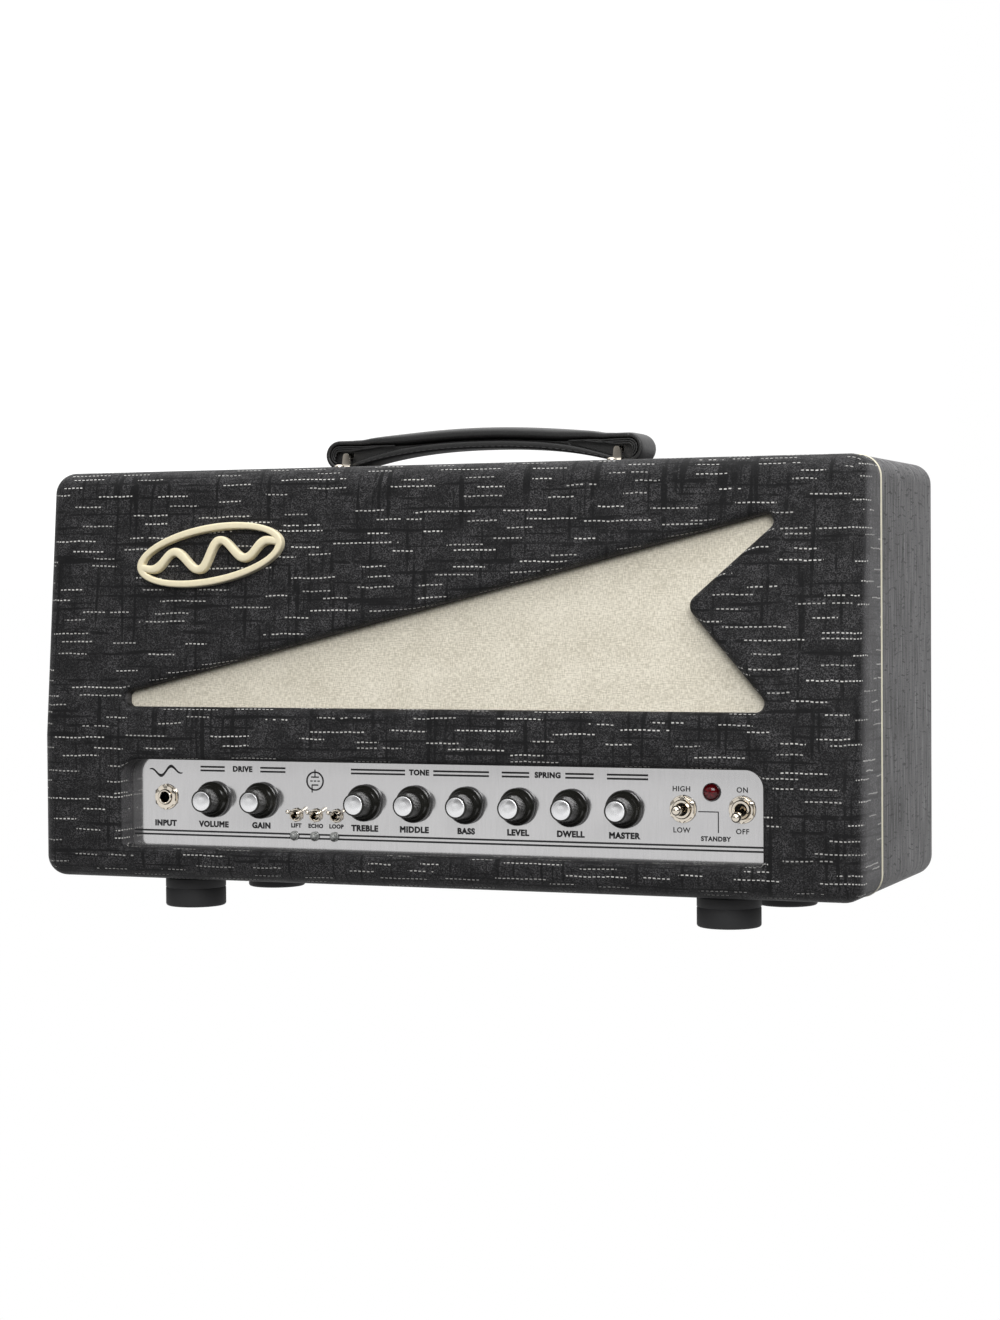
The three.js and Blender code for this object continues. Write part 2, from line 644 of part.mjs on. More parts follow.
// ---------------------------------------------------------------- circuit boards
// The upright board behind the panel carries the eight potentiometers, with their bushings and nuts.
function controlBoard() {
  const boardFront = 30.5;
  const nutFront = PANEL_FACE - GAP - 1.3;
  const plate = box([-166, 136], [boardFront, boardFront + 1.6], [24, 74]);
  const at = (x) => ({ x, z: KNOB_HEIGHT });
  const cases = KNOBS.map(([, x]) => rodY(8.5, [BEHIND_WALL, boardFront + 0.5], 10, at(x)));
  const bushings = KNOBS.map(([, x]) => rodY(4.5, [nutFront, BEHIND_WALL + 1], 8, at(x)));
  const nuts = KNOBS.map(([, x]) => rodY(6.8, [nutFront, PANEL_FACE - GAP], 6, at(x)));
  const bores = KNOBS.map(([, x]) => rodY(3.5, [nutFront - 1, boardFront - 1.5], 8, at(x)));
  return cut(join(plate, ...cases, ...bushings, ...nuts), ...bores);
}

// The level board under the chassis top carries the valve sockets and the large components.
function mainBoard() {
  const level = [58, 59.6];
  const seat = TUBE_SEAT - GAP;
  const plate = box([-226, 72], [48, 141], level);
  const octals = POWER_TUBES.map((x) => rodZ(16, [level[0] + 1, seat], 12, { x, y: POWER_TUBE_DEPTH }));
  const novals = PREAMP_TUBES.map((x) => rodZ(10.5, [level[0] + 1, seat], 10, { x, y: PREAMP_TUBE_DEPTH }));
  const capacitors = [-190, -150, -110].map((x) => box(around(x, 13), around(124, 8), [40, level[0] + 0.5]));
  return join(plate, ...octals, ...novals, ...capacitors);
}

place('control_board', controlBoard(), BOARD_GREEN);
place('main_board', mainBoard(), BOARD_GREEN);

// ---------------------------------------------------------------- knobs
// A ribbed barrel over a wide skirt. Its back is hollow over the fixing nut, and its shaft turns with it.
function knob() {
  const front = -KNOB_REACH;
  const back = -KNOB_GAP;
  const shaft = { radius: 3, end: 12 };
  const hollow = { radius: 8, depth: -2.4 };
  return turned([
    [0, front], [6, front], [6.75, front + 1], [9.3, back - 4.8], [9.9, back - 4], [11.1, back - 1.6],
    [KNOB_RADIUS, back - 0.8], [KNOB_RADIUS - 0.2, back], [hollow.radius, back],
    [hollow.radius, hollow.depth], [shaft.radius, hollow.depth], [shaft.radius, shaft.end], [0, shaft.end],
  ], 14);
}
for (const [name, x] of KNOBS) {
  place(name, knob(), KNOB_PLASTIC).position.set(x, PANEL_FACE, KNOB_HEIGHT);
}

// ---------------------------------------------------------------- toggle switches
// Front-panel parts stand on the panel's face at local y = 0 and reach back through the chassis wall.
const WALL_BACK = BEHIND_WALL - PANEL_FACE;
const TOGGLE = { mouth: -3.9, bore: 3.6, pivot: 1.6, length: 17.4, tipRadius: 2.95, ball: 2.2 };
const MINI = { mouth: -4.2, bore: 2.2, pivot: -0.4, length: 13.5, tipRadius: 1.35, ball: 1.5 };

function toggleSwitch() {
  const caseBox = box(around(0, 9), [WALL_BACK, WALL_BACK + 18], around(0, 14));
  const bushing = rodY(5.7, [TOGGLE.mouth, WALL_BACK + 1], 12);
  const nut = rodY(8.1, [-GAP - 2.3, -GAP], 6);
  const washer = rodY(8, [-GAP - 0.7, -GAP], 16);
  const bore = rodY(TOGGLE.bore, [TOGGLE.mouth - 1, TOGGLE.pivot + 3], 12);
  return cut(join(caseBox, bushing, nut, washer), bore);
}

function miniSwitch() {
  const caseBox = box(around(0, 5.5), [WALL_BACK, WALL_BACK + 10], around(0, 6.5));
  const bushing = rodY(3, [MINI.mouth, WALL_BACK + 1], 10);
  const nut = rodY(4.3, [-GAP - 2.2, -GAP], 6);
  const bore = rodY(MINI.bore, [MINI.mouth - 1, MINI.pivot + 2.4], 10);
  return cut(join(caseBox, bushing, nut), bore);
}

// A bat-shaped lever whose pivot ball is at its own origin, pointing along -Y.
function batLever({ length, tipRadius, ball }, sides) {
  const neck = ball * 0.62;
  return turned([
    [0, -length], [tipRadius * 0.75, -length + tipRadius * 0.35], [tipRadius, -length + tipRadius],
    [tipRadius * 0.95, -length * 0.78], [neck, -ball * 1.8],
    [ball * 0.9, -ball * 0.5], [ball, 0], [ball * 0.7, ball * 0.7], [0, ball],
  ], sides);
}

place('class_switch', toggleSwitch(), NICKEL).position.set(CLASS_PLACE.x, PANEL_FACE, CLASS_PLACE.z);
place('power_switch', toggleSwitch(), NICKEL).position.set(POWER_PLACE.x, PANEL_FACE, POWER_PLACE.z);
place('class_lever', batLever(TOGGLE, 10), NICKEL)
  .position.set(CLASS_PLACE.x, PANEL_FACE + TOGGLE.pivot, CLASS_PLACE.z);
const powerLever = place('power_lever', batLever(TOGGLE, 10), NICKEL);
powerLever.position.set(POWER_PLACE.x, PANEL_FACE + TOGGLE.pivot, POWER_PLACE.z);
powerLever.rotation.x = TOGGLE_TILT;
for (const [name, x] of MINI_SWITCHES) {
  place(`${name}_switch`, miniSwitch(), NICKEL).position.set(x, PANEL_FACE, MINI_HEIGHT);
  const lever = place(`${name}_lever`, batLever(MINI, 8), NICKEL);
  lever.position.set(x, PANEL_FACE + MINI.pivot, MINI_HEIGHT);
  lever.rotation.x = -MINI_TILT;
}

// ---------------------------------------------------------------- jacks, lamps and rear fittings
const SOCKET_RADIUS = 3.3;
const JACK_NUT = { front: 8.1, rear: 7.4 };

// A quarter-inch jack on a wall whose outer face is at local y = 0, its mouth towards -Y.
function jack(wallDepth, nutRadius) {
  const caseBox = box(around(0, 8), [wallDepth, wallDepth + 22], around(0, 10));
  const bushing = rodY(4.8, [-3.4, wallDepth + 1], 12);
  const nut = rodY(nutRadius, [-GAP - 2, -GAP], 6);
  const washer = rodY(nutRadius, [-GAP - 0.6, -GAP], 14);
  const bore = rodY(SOCKET_RADIUS, [-5, wallDepth + 20], 12);
  return cut(join(caseBox, bushing, nut, washer), bore);
}

place('input_jack', jack(WALL_BACK, JACK_NUT.front), NICKEL)
  .position.set(INPUT_PLACE.x, PANEL_FACE, INPUT_PLACE.z);

const REAR_WALL_BACK = PANEL_THICKNESS + GAP;
for (const [name, x] of REAR_JACKS) {
  const mesh = place(name, jack(REAR_WALL_BACK, JACK_NUT.rear), NICKEL);
  mesh.position.set(x, REAR_PANEL_FACE, REAR_JACK_HEIGHT);
  mesh.rotation.z = Math.PI;
}

function pilotJewel() {
  return turned([
    [0, -4.6], [2.4, -4.2], [4.2, -2.9], [5.1, -1.1], [5.3, -0.9], [5.3, -GAP], [4.5, -GAP],
    [4.5, WALL_BACK + 12], [0, WALL_BACK + 12],
  ], 14);
}
place('pilot_jewel', pilotJewel(), JEWEL_RED).position.set(JEWEL_PLACE.x, PANEL_FACE, JEWEL_PLACE.z);

function indicator() {
  return turned([
    [0, -4], [1.3, -3.5], [2.1, -2.2], [2.2, -0.9], [2.9, -0.9], [2.9, -GAP], [2.4, -GAP],
    [2.4, WALL_BACK + 6], [0, WALL_BACK + 6],
  ], 10);
}
for (const [name, x] of INDICATORS) {
  place(`${name}_indicator`, indicator(), CLEAR_LENS).position.set(x, PANEL_FACE, INDICATOR_HEIGHT);
}

// Three-pin mains inlet; local y = 0 is the outer face of the rear panel, the mouth faces -Y before turning.
function mainsInlet() {
  const socket = { halfWidth: 12.4, low: -8.2, high: 8.2 };
  const flange = prismY(roundedOutline(rectangleCorners(25, -12.5, 12.5, 4, 4), 3)(0), [-GAP - 3, -GAP]);
  const body = box(around(0, 14.6), [-1, 24], around(0, 11));
  const hollow = prismY([
    [-socket.halfWidth, socket.low], [socket.halfWidth, socket.low], [socket.halfWidth, 3.6],
    [8, socket.high], [-8, socket.high], [-socket.halfWidth, 3.6],
  ], [-5, 17]);
  const pin = (x, z) => box(around(x, 1), [2, 18], around(z, 2));
  return join(cut(join(flange, body), hollow), pin(-7, -2.5), pin(7, -2.5), pin(0, 1.5));
}
const inlet = place('mains_inlet', mainsInlet(), BLACK_PLASTIC);
inlet.position.set(INLET_PLACE.x, REAR_PANEL_FACE, INLET_PLACE.z);
inlet.rotation.z = Math.PI;

function fuseHolder() {
  return turned([
    [0, -9.5], [5.6, -9.5], [6.2, -8.9], [6.2, -2.4], [8, -2.4], [8, -GAP], [6, -GAP], [6, 30], [0, 30],
  ], 12);
}
const fuse = place('fuse_holder', fuseHolder(), BLACK_PLASTIC);
fuse.position.set(FUSE_PLACE.x, REAR_PANEL_FACE, FUSE_PLACE.z);
fuse.rotation.z = Math.PI;

// ---------------------------------------------------------------- transformers, reverb tank and valves
// A laminated core standing on the chassis, with a rounded bell over the windings on each face.
function transformer(width, thickness, height, bell) {
  const core = box(around(0, width / 2), around(0, thickness / 2), [GAP, height]);
  const corners = rectangleCorners(width / 2 - 5, 5, height - 5, 8, 8);
  const outline = roundedOutline(corners, 3);
  const face = thickness / 2;
  const rearBell = flaredPrism(outline, [[face + bell, -4], [face + bell - 4, 0], [face - 1, 0]]);
  const frontBell = flaredPrism(outline, [[1 - face, 0], [4 - face - bell, 0], [-face - bell, -4]]);
  return join(core, rearBell, frontBell);
}
place('power_transformer', transformer(88, 44, 74, 20), CORE).position.set(178, 100, CHASSIS_TOP);
place('output_transformer', transformer(66, 34, 56, 15), CORE).position.set(98, 100, CHASSIS_TOP);

function reverbTank() {
  const x = [-238, -3];
  const y = [38, 148];
  const z = [201.5, 235.2];
  const tray = box(x, y, z);
  const hollow = box([x[0] + 1.6, x[1] - 1.6], [y[0] + 1.6, y[1] - 1.6], [z[0] + 1.6, z[1] + 1]);
  return cut(tray, hollow);
}
place('reverb_tank', reverbTank(), STEEL);

function powerTube() {
  return turned([
    [0, 0], [17.5, 0], [17.5, 18], [16, 22], [18.6, 34], [18.6, 84], [15, 97], [7, 104], [0, 106],
  ], 14).rotateX(Math.PI / 2);
}
POWER_TUBES.forEach((x, i) => {
  place(`power_tube_${i + 1}`, powerTube(), GLASS).position.set(x, POWER_TUBE_DEPTH, TUBE_SEAT);
});

function preampTube() {
  return turned([
    [0, 0], [10.4, 0], [11, 2.5], [11, 42], [8, 49], [2.4, 51], [1.2, 56], [0, 56],
  ], 12).rotateX(Math.PI / 2);
}
PREAMP_TUBES.forEach((x, i) => {
  place(`preamp_tube_${i + 1}`, preampTube(), GLASS).position.set(x, PREAMP_TUBE_DEPTH, TUBE_SEAT);
});

function filterCapacitor() {
  return turned([
    [0, GAP], [17.5, GAP], [17.5, 60], [16.5, 62], [0, 62],
  ], 14).rotateX(Math.PI / 2);
}
place('filter_capacitor', filterCapacitor(), ALUMINIUM)
  .position.set(CAPACITOR_PLACE.x, CAPACITOR_PLACE.y, CHASSIS_TOP);

export default group;
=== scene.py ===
import json
import math
import random

import bmesh
import bpy
from mathutils import Matrix, Vector


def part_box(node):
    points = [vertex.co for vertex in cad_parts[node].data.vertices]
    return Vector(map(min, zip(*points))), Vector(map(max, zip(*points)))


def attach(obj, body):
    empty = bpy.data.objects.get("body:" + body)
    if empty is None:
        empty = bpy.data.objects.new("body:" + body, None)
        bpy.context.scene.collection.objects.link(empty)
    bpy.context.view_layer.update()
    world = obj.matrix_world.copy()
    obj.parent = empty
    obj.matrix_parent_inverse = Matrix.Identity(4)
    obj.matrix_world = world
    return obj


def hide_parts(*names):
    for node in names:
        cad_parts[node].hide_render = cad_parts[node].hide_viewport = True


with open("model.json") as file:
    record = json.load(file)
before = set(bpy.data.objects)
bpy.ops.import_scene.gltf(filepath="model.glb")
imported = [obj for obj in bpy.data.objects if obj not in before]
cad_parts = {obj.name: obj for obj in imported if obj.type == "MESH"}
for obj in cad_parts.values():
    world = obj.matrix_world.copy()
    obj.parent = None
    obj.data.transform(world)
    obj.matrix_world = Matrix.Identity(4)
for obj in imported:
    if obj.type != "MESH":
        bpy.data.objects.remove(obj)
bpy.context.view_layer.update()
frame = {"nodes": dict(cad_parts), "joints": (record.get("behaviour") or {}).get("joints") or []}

# A valve guitar amplifier head. The CAD frame gives every place; this script makes the fine surfaces.
# Shapes are written in millimetres, in the head's own frame: x to the right, depth behind the lower
# front face, and height above the underside of the cabinet. build() turns them into metres.
MM = 0.001
FRAME_LOW, FRAME_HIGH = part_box("front_frame")
WIDTH = (FRAME_HIGH.x - FRAME_LOW.x) / MM
HEIGHT = (FRAME_HIGH.z - FRAME_LOW.z) / MM
HEAD = Matrix.Translation((0, FRAME_LOW.y, FRAME_LOW.z)) @ Matrix.Diagonal((MM, MM, MM, 1))
TO_HEAD = HEAD.inverted()
JOINTS = {joint["name"]: joint for joint in frame["joints"]}


def node_box(node):
    """Lowest and highest corner of a CAD node, in the head's millimetres."""
    low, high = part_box(node)
    return TO_HEAD @ low, TO_HEAD @ high


def node_middle(node):
    low, high = node_box(node)
    return (low + high) / 2


def joint_place(name):
    """A joint's place in the head's millimetres."""
    return TO_HEAD @ Vector(JOINTS[name]["pos_m"])


# ---------------------------------------------------------------- driving sizes, as in the CAD frame
WALL = 16
EDGE_RADIUS = 12.7
REAR_EDGE_RADIUS = 7
CREASE_HEIGHT = 88
LEAN = math.radians(5.39)
FRAME_DEPTH = 45.6
SHELL_LOW, SHELL_HIGH = node_box("cabinet_shell")
SHELL_FRONT = SHELL_LOW.y
SHELL_REAR = SHELL_HIGH.y
LOWER_BOARD = 15.2
UPPER_BOARD = 9.5
PANEL_LOW, PANEL_HIGH = node_box("control_panel")
PANEL_FACE = PANEL_LOW.y
WINDOW_HALF_WIDTH = 205
WINDOW_LOW = 19.5
WINDOW_HIGH = 74
REAR_LOW, REAR_HIGH = node_box("rear_panel")
REAR_FACE = REAR_HIGH.y
KNOBS = ["volume_knob", "gain_knob", "treble_knob", "middle_knob", "bass_knob", "reverb_knob",
         "dwell_knob", "master_knob"]
MINIS = ["boost", "reverb", "loop"]
REAR_JACKS = ["speaker_jack_1", "speaker_jack_2", "loop_return_jack", "loop_send_jack", "footswitch_jack"]
TOGGLE_TILT = math.radians(14.5)
MINI_TILT = math.radians(13)
SLOPE = Matrix.Translation((0, 0, CREASE_HEIGHT)) @ Matrix.Rotation(-LEAN, 4, "X")


# ---------------------------------------------------------------- camera, light and floor
CAMERA_PLACE = (0.626, -1.5406, 0.19305)
CAMERA_YAW = math.radians(21.728)
CAMERA_PITCH = math.radians(1.399)
CAMERA_ROLL = -0.0069
LENS = 73.24


def make_camera():
    """The camera looks along +Y, turned left by its yaw and down by its pitch."""
    data = bpy.data.cameras.new("camera")
    data.lens = LENS
    data.sensor_width = 36
    data.clip_start = 0.05
    data.clip_end = 50
    camera = bpy.data.objects.new("camera", data)
    forward = Vector((-math.sin(CAMERA_YAW) * math.cos(CAMERA_PITCH),
                      math.cos(CAMERA_YAW) * math.cos(CAMERA_PITCH), -math.sin(CAMERA_PITCH)))
    right = Vector((math.cos(CAMERA_YAW), math.sin(CAMERA_YAW), 0))
    up = right.cross(forward)
    rolled_right = right * math.cos(CAMERA_ROLL) + up * math.sin(CAMERA_ROLL)
    rolled_up = up * math.cos(CAMERA_ROLL) - right * math.sin(CAMERA_ROLL)
    turn = Matrix((rolled_right, rolled_up, -forward)).transposed()
    camera.matrix_world = Matrix.Translation(CAMERA_PLACE) @ turn.to_4x4()
    bpy.context.scene.collection.objects.link(camera)
    bpy.context.scene.camera = camera


def soft_light(name, place, aim, size, power):
    data = bpy.data.lights.new(name, "AREA")
    data.shape = "RECTANGLE"
    data.size, data.size_y = size
    data.energy = power
    light = bpy.data.objects.new(name, data)
    way = Vector(aim) - Vector(place)
    light.matrix_world = Matrix.Translation(place) @ way.to_track_quat("-Z", "Y").to_matrix().to_4x4()
    bpy.context.scene.collection.objects.link(light)


make_camera()


# ---------------------------------------------------------------- fields: patterns written as sums
class Field:
    """A number that varies over a surface: one socket of a shader tree, with arithmetic."""

    def __init__(self, tree, socket):
        self.tree = tree
        self.socket = socket

    def feed(self, plug, value):
        """Links a field to the plug, or sets the plug to a number."""
        if isinstance(value, Field):
            self.tree.links.new(value.socket, plug)
        else:
            plug.default_value = value

    def math(self, operation, *others):
        node = self.tree.nodes.new("ShaderNodeMath")
        node.operation = operation
        for plug, value in zip(node.inputs, (self, *others)):
            self.feed(plug, value)
        return Field(self.tree, node.outputs[0])

    def __add__(self, other):
        return self.math("ADD", other)

    def __sub__(self, other):
        return self.math("SUBTRACT", other)

    def __mul__(self, other):
        return self.math("MULTIPLY", other)

    def __truediv__(self, other):
        return self.math("DIVIDE", other)

    def __rsub__(self, other):
        return (self * -1) + other

    def floor(self):
        return self.math("FLOOR")

    def fract(self):
        return self.math("FRACT")

    def abs(self):
        return self.math("ABSOLUTE")

    def sine(self):
        return self.math("SINE")

    def power(self, exponent):
        return self.math("POWER", exponent)

    def most(self, other):
        return self.math("MAXIMUM", other)

    def above(self, other):
        return self.math("GREATER_THAN", other)

    def ramp(self, start, end):
        """0 below start, 1 above end, smooth between. start may be the larger one."""
        node = self.tree.nodes.new("ShaderNodeMapRange")
        node.interpolation_type = "SMOOTHSTEP"
        self.tree.links.new(self.socket, node.inputs["Value"])
        node.inputs["From Min"].default_value = start
        node.inputs["From Max"].default_value = end
        return Field(self.tree, node.outputs[0])

    def joined(self, y, z):
        """This field, y and z as one vector socket."""
        node = self.tree.nodes.new("ShaderNodeCombineXYZ")
        for plug, value in zip(node.inputs, (self, y, z)):
            self.feed(plug, value)
        return node.outputs[0]


def parts_of(tree, node, output):
    """The x, y and z of a node's vector output, as fields."""
    split = tree.nodes.new("ShaderNodeSeparateXYZ")
    tree.links.new(node.outputs[output], split.inputs[0])
    return [Field(tree, plug) for plug in split.outputs]


def chance(u, v, seed):
    """The same random number from 0 to 1 wherever u and v are the same."""
    node = u.tree.nodes.new("ShaderNodeTexWhiteNoise")
    node.noise_dimensions = "3D"
    u.tree.links.new(u.joined(v, seed), node.inputs["Vector"])
    return Field(u.tree, node.outputs["Value"])


def noise(u, v, seed, detail=2.0):
    """Smooth noise from 0 to 1 whose blotches are about one unit of u and v across."""
    node = u.tree.nodes.new("ShaderNodeTexNoise")
    u.tree.links.new(u.joined(v, seed), node.inputs["Vector"])
    node.inputs["Scale"].default_value = 1
    node.inputs["Detail"].default_value = detail
    node.inputs["Roughness"].default_value = 0.55
    return Field(u.tree, node.outputs["Fac"])


# The colour sockets of a mix node share their names with others, so they are taken by number.
MIX_LOW = 6
MIX_HIGH = 7
MIX_RESULT = 2


class Finish:
    """A Principled material and the fields that its patterns are made of."""

    def __init__(self, name, color, roughness=0.5, **sockets):
        self.material = bpy.data.materials.new(name)
        self.material.use_nodes = True
        self.tree = self.material.node_tree
        self.shader = self.tree.nodes["Principled BSDF"]
        self.shader.inputs["Base Color"].default_value = (*color, 1)
        self.shader.inputs["Roughness"].default_value = roughness
        for socket, value in sockets.items():
            self.shader.inputs[socket.replace("_", " ")].default_value = value

    def place(self):
        """Millimetres along x, y and z."""
        node = self.tree.nodes.new("ShaderNodeTexCoord")
        return [field / MM for field in parts_of(self.tree, node, "Object")]

    def grain(self):
        """Millimetres along and across the covering, from the mesh's own layer."""
        node = self.tree.nodes.new("ShaderNodeUVMap")
        node.uv_map = "grain"
        return [field / MM for field in parts_of(self.tree, node, "UV")[:2]]

    def painted_sheen_sides(self):
        """1 where the surface faces left or right, and 0 on the front and the top: the mask of the painted
        sheen on the sides.
        """
        node = self.tree.nodes.new("ShaderNodeTexCoord")
        return parts_of(self.tree, node, "Normal")[0].abs().ramp(0.75, 0.98)

    def mix(self, amount, high):
        """A mix that reaches the colour high where the amount field is 1, and gives the base colour."""
        mix = self.tree.nodes.new("ShaderNodeMix")
        mix.data_type = "RGBA"
        self.tree.links.new(amount.socket, mix.inputs["Factor"])
        mix.inputs[MIX_HIGH].default_value = (*high, 1)
        self.tree.links.new(mix.outputs[MIX_RESULT], self.shader.inputs["Base Color"])
        return mix

    def paint(self, amount, low, high):
        """The base colour goes from low to high with the amount field."""
        mix = self.mix(amount, high)
        mix.inputs[MIX_LOW].default_value = (*low, 1)
        return mix

    def over(self, under, amount, color):
        """Paints a colour over an earlier mix, as far as the amount field says."""
        mix = self.mix(amount, color)
        self.tree.links.new(under.outputs[MIX_RESULT], mix.inputs[MIX_LOW])
        return mix

    def vary(self, socket, field):
        self.tree.links.new(field.socket, self.shader.inputs[socket])

    def bump(self, height, depth_mm, strength=1.0):
        node = self.tree.nodes.new("ShaderNodeBump")
        node.inputs["Strength"].default_value = strength
        node.inputs["Distance"].default_value = depth_mm * MM
        self.tree.links.new(height.socket, node.inputs["Height"])
        self.tree.links.new(node.outputs[0], self.shader.inputs["Normal"])


# ---------------------------------------------------------------- studio
def make_world():
    """A pale studio, bright above and behind and darker in front. The camera sees it as plain white."""
    world = bpy.data.worlds.new("studio")
    world.use_nodes = True
    tree = world.node_tree
    way = tree.nodes.new("ShaderNodeTexCoord")
    right, back, up = parts_of(tree, way, "Generated")
    above = up.ramp(0.25, 0.95) * 1.25
    behind = back.ramp(-0.1, 0.6) * 0.85
    beside = right.ramp(0.35, 0.9) * back.ramp(-0.6, 0.1) * 0.25
    left_front = right.ramp(-0.1, -0.6) * 0.25
    everywhere = 0.12
    below = 0.10
    higher = up.ramp(-0.04, 0.02)
    glow = (above + behind + beside + left_front + everywhere) * higher + (1 - higher) * below
    seen = Field(tree, tree.nodes.new("ShaderNodeLightPath").outputs["Is Camera Ray"])
    tree.links.new(glow.most(seen).socket, tree.nodes["Background"].inputs["Color"])
    bpy.context.scene.world = world
    bpy.context.scene.view_settings.view_transform = "Standard"


def make_floor():
    """A wide white floor that glows evenly and takes no shadow."""
    mesh = bpy.data.meshes.new("floor")
    reach = 12
    mesh.from_pydata([(-reach, -reach, 0), (reach, -reach, 0), (reach, reach, 0), (-reach, reach, 0)],
                     [], [(0, 1, 2, 3)])
    floor = bpy.data.objects.new("floor", mesh)
    paint = bpy.data.materials.new("floor")
    paint.use_nodes = True
    shader = paint.node_tree.nodes["Principled BSDF"]
    shader.inputs["Base Color"].default_value = (0, 0, 0, 1)
    shader.inputs["Roughness"].default_value = 1.0
    shader.inputs["Specular IOR Level"].default_value = 0.0
    shader.inputs["Emission Color"].default_value = (1, 1, 1, 1)
    shader.inputs["Emission Strength"].default_value = 1.0
    mesh.materials.append(paint)
    floor.visible_diffuse = False
    bpy.context.scene.collection.objects.link(floor)


# Each light's place, the point that it faces, its width and height, and its power.
LIGHTS = {
    "overhead": ((0.1, -0.2, 1.6), (0, 0, 0.15), (1.4, 0.8), 6),
    "key": ((0.75, -1.9, 1.2), (0, 0, 0.12), (1.3, 0.9), 30),
    "strip": ((1.15, -0.75, 1.25), (0.05, -0.1, 0.12), (0.3, 0.7), 4.5),
}


make_world()
make_floor()
for name, light in LIGHTS.items():
    soft_light(name, *light)


# ---------------------------------------------------------------- finishes
def covering():
    """Near-black woven vinyl: fine specks, a plaid of darker threads and runs of light dashes.
    Its sides are painted paler, a painted sheen of light glancing off the vinyl."""
    made = Finish("covering", (0.02, 0.02, 0.021), 0.52, Specular_IOR_Level=0.15)
    u, v = made.grain()
    wander = noise(u / 22, v / 60, 3.1) - 0.5

    row_pitch = 6.5
    bay = 50.0
    dash_pitch = 2.8
    shortest_run, longer_by = 14, 36
    empty_bays = 0.12
    missing_dashes = 0.03
    thinnest, thicker_by = 0.19, 0.10
    across = (v + wander * 2.4) / row_pitch
    row = across.floor()
    along = u / bay + chance(row, row, 1.3)
    run = along.floor()
    from_start = along.fract() * bay
    length = chance(run, row, 2.7) * chance(run, row, 5.1) * longer_by + shortest_run
    start = chance(run, row, 4.9) * (bay - length)
    inside = (from_start - start).ramp(-0.1, 0.1) * (start + length - from_start).ramp(-0.1, 0.1)
    present = chance(run, row, 6.2).above(empty_bays)
    centre = chance(run, row, 7.7) * 0.72 + 0.14
    beat = u / dash_pitch
    kept = chance(beat.floor(), row, 8.4).above(missing_dashes)
    dash_long = (beat.fract() - 0.5).abs().ramp(0.34, 0.24)
    thick = chance(beat.floor(), row, 9.3) * thicker_by + thinnest
    off_line = (chance(beat.floor(), row, 11.2) - 0.5) * 0.04
    dash_high = ((across.fract() - centre + off_line).abs() * row_pitch - thick).ramp(0.2, 0.0)
    dashes = inside * present * kept * dash_long * dash_high

    specks = noise(u / 0.7, v / 0.62, 12.5, 2.0)
    fine = noise(u / 0.5, v / 0.45, 13.5, 1.0)
    threads_up = noise(u / 3.4 + wander * 0.6, v / 70, 14.0, 1.0).ramp(0.57, 0.66)
    threads_across = noise(u / 70, v / 3.2 + wander * 0.6, 15.0, 1.0).ramp(0.57, 0.66)
    broken = noise(u / 9, v / 9, 16.0).ramp(0.28, 0.48)
    plaid = threads_up.most(threads_across) * broken
    patches = noise(u / 17, v / 15, 17.0).ramp(0.3, 0.7)
    tone = (specks * 0.6 + fine * 0.4).ramp(0.43, 0.66) * (1 - plaid * 0.9) * (patches * 0.8 + 0.4)
    ground = made.paint(tone, (0.004, 0.004, 0.0045), (0.082, 0.080, 0.083))
    # Painted sheen: the faces that look sideways are painted paler, standing in for light glancing off the
    # vinyl at a grazing angle.
    pale = made.over(ground, made.painted_sheen_sides() * (tone * 0.5 + 0.35), (0.16, 0.157, 0.162))
    strength = chance(run, row, 18.3) * 0.45 + 0.55
    made.over(pale, dashes * strength, (0.70, 0.69, 0.665))
    made.vary("Roughness", 0.62 - tone * 0.15)
    made.bump(specks * 0.7 - plaid * 0.5 + dashes * 0.6, 0.18, 0.8)
    return made.material


def box_covering():
    """The same vinyl on the box, its weave turned: fine pale threads one way, short dark ones the other."""
    made = Finish("box_covering", (0.02, 0.02, 0.021), 0.5, Specular_IOR_Level=0.25)
    u, v = made.grain()
    wander = noise(u / 60, v / 30, 23.1) - 0.5
    fine = noise(u / 30, v / 1.1 + wander * 1.4, 21.0, 1.0).ramp(0.36, 0.68)
    pale = noise(u / 55, v / 2.1 + wander, 22.0, 1.0).ramp(0.55, 0.70)
    cross = noise(u / 1.6 + wander * 7, v / 11, 24.0, 1.0).ramp(0.60, 0.68)
    patches = noise(u / 50, v / 30, 25.0)
    specks = noise(u / 0.9, v / 0.7, 26.0, 2.0).ramp(0.3, 0.7)
    tone = (fine * 0.5 + specks * 0.25 + pale * 0.35) * (patches * 0.5 + 0.75) * (1 - cross * 0.75)
    made.paint(tone, (0.012, 0.012, 0.0125), (0.19, 0.186, 0.192))
    made.vary("Roughness", 0.58 - tone * 0.16)
    made.bump(fine * 0.4 + specks * 0.3 - cross * 0.6, 0.14, 0.7)
    return made.material


def linen():
    """Cream grille cloth: fine slubbed threads both ways, with scattered small brown flecks."""
    made = Finish("grille_cloth", (0.58, 0.53, 0.43), 0.95, Specular_IOR_Level=0.15, Sheen_Weight=0.1,
                  Sheen_Roughness=0.6)
    x, _, z = made.place()
    warp = noise(x / 0.6, z / 3.0, 31.0, 1.0)
    weft = noise(x / 3.0, z / 0.6, 32.0, 1.0)
    drift = noise(x / 30, z / 22, 34.0)
    fleck = noise(x / 0.9, z / 0.8, 33.0, 1.0).ramp(0.74, 0.80)
    tone = (warp + weft) * 0.42 + drift * 0.16
    ground = made.paint(tone.ramp(0.36, 0.64), (0.57, 0.525, 0.42), (0.86, 0.81, 0.69))
    made.over(ground, fleck * 0.55, (0.26, 0.20, 0.13))
    made.bump(warp + weft, 0.16, 0.7)
    return made.material


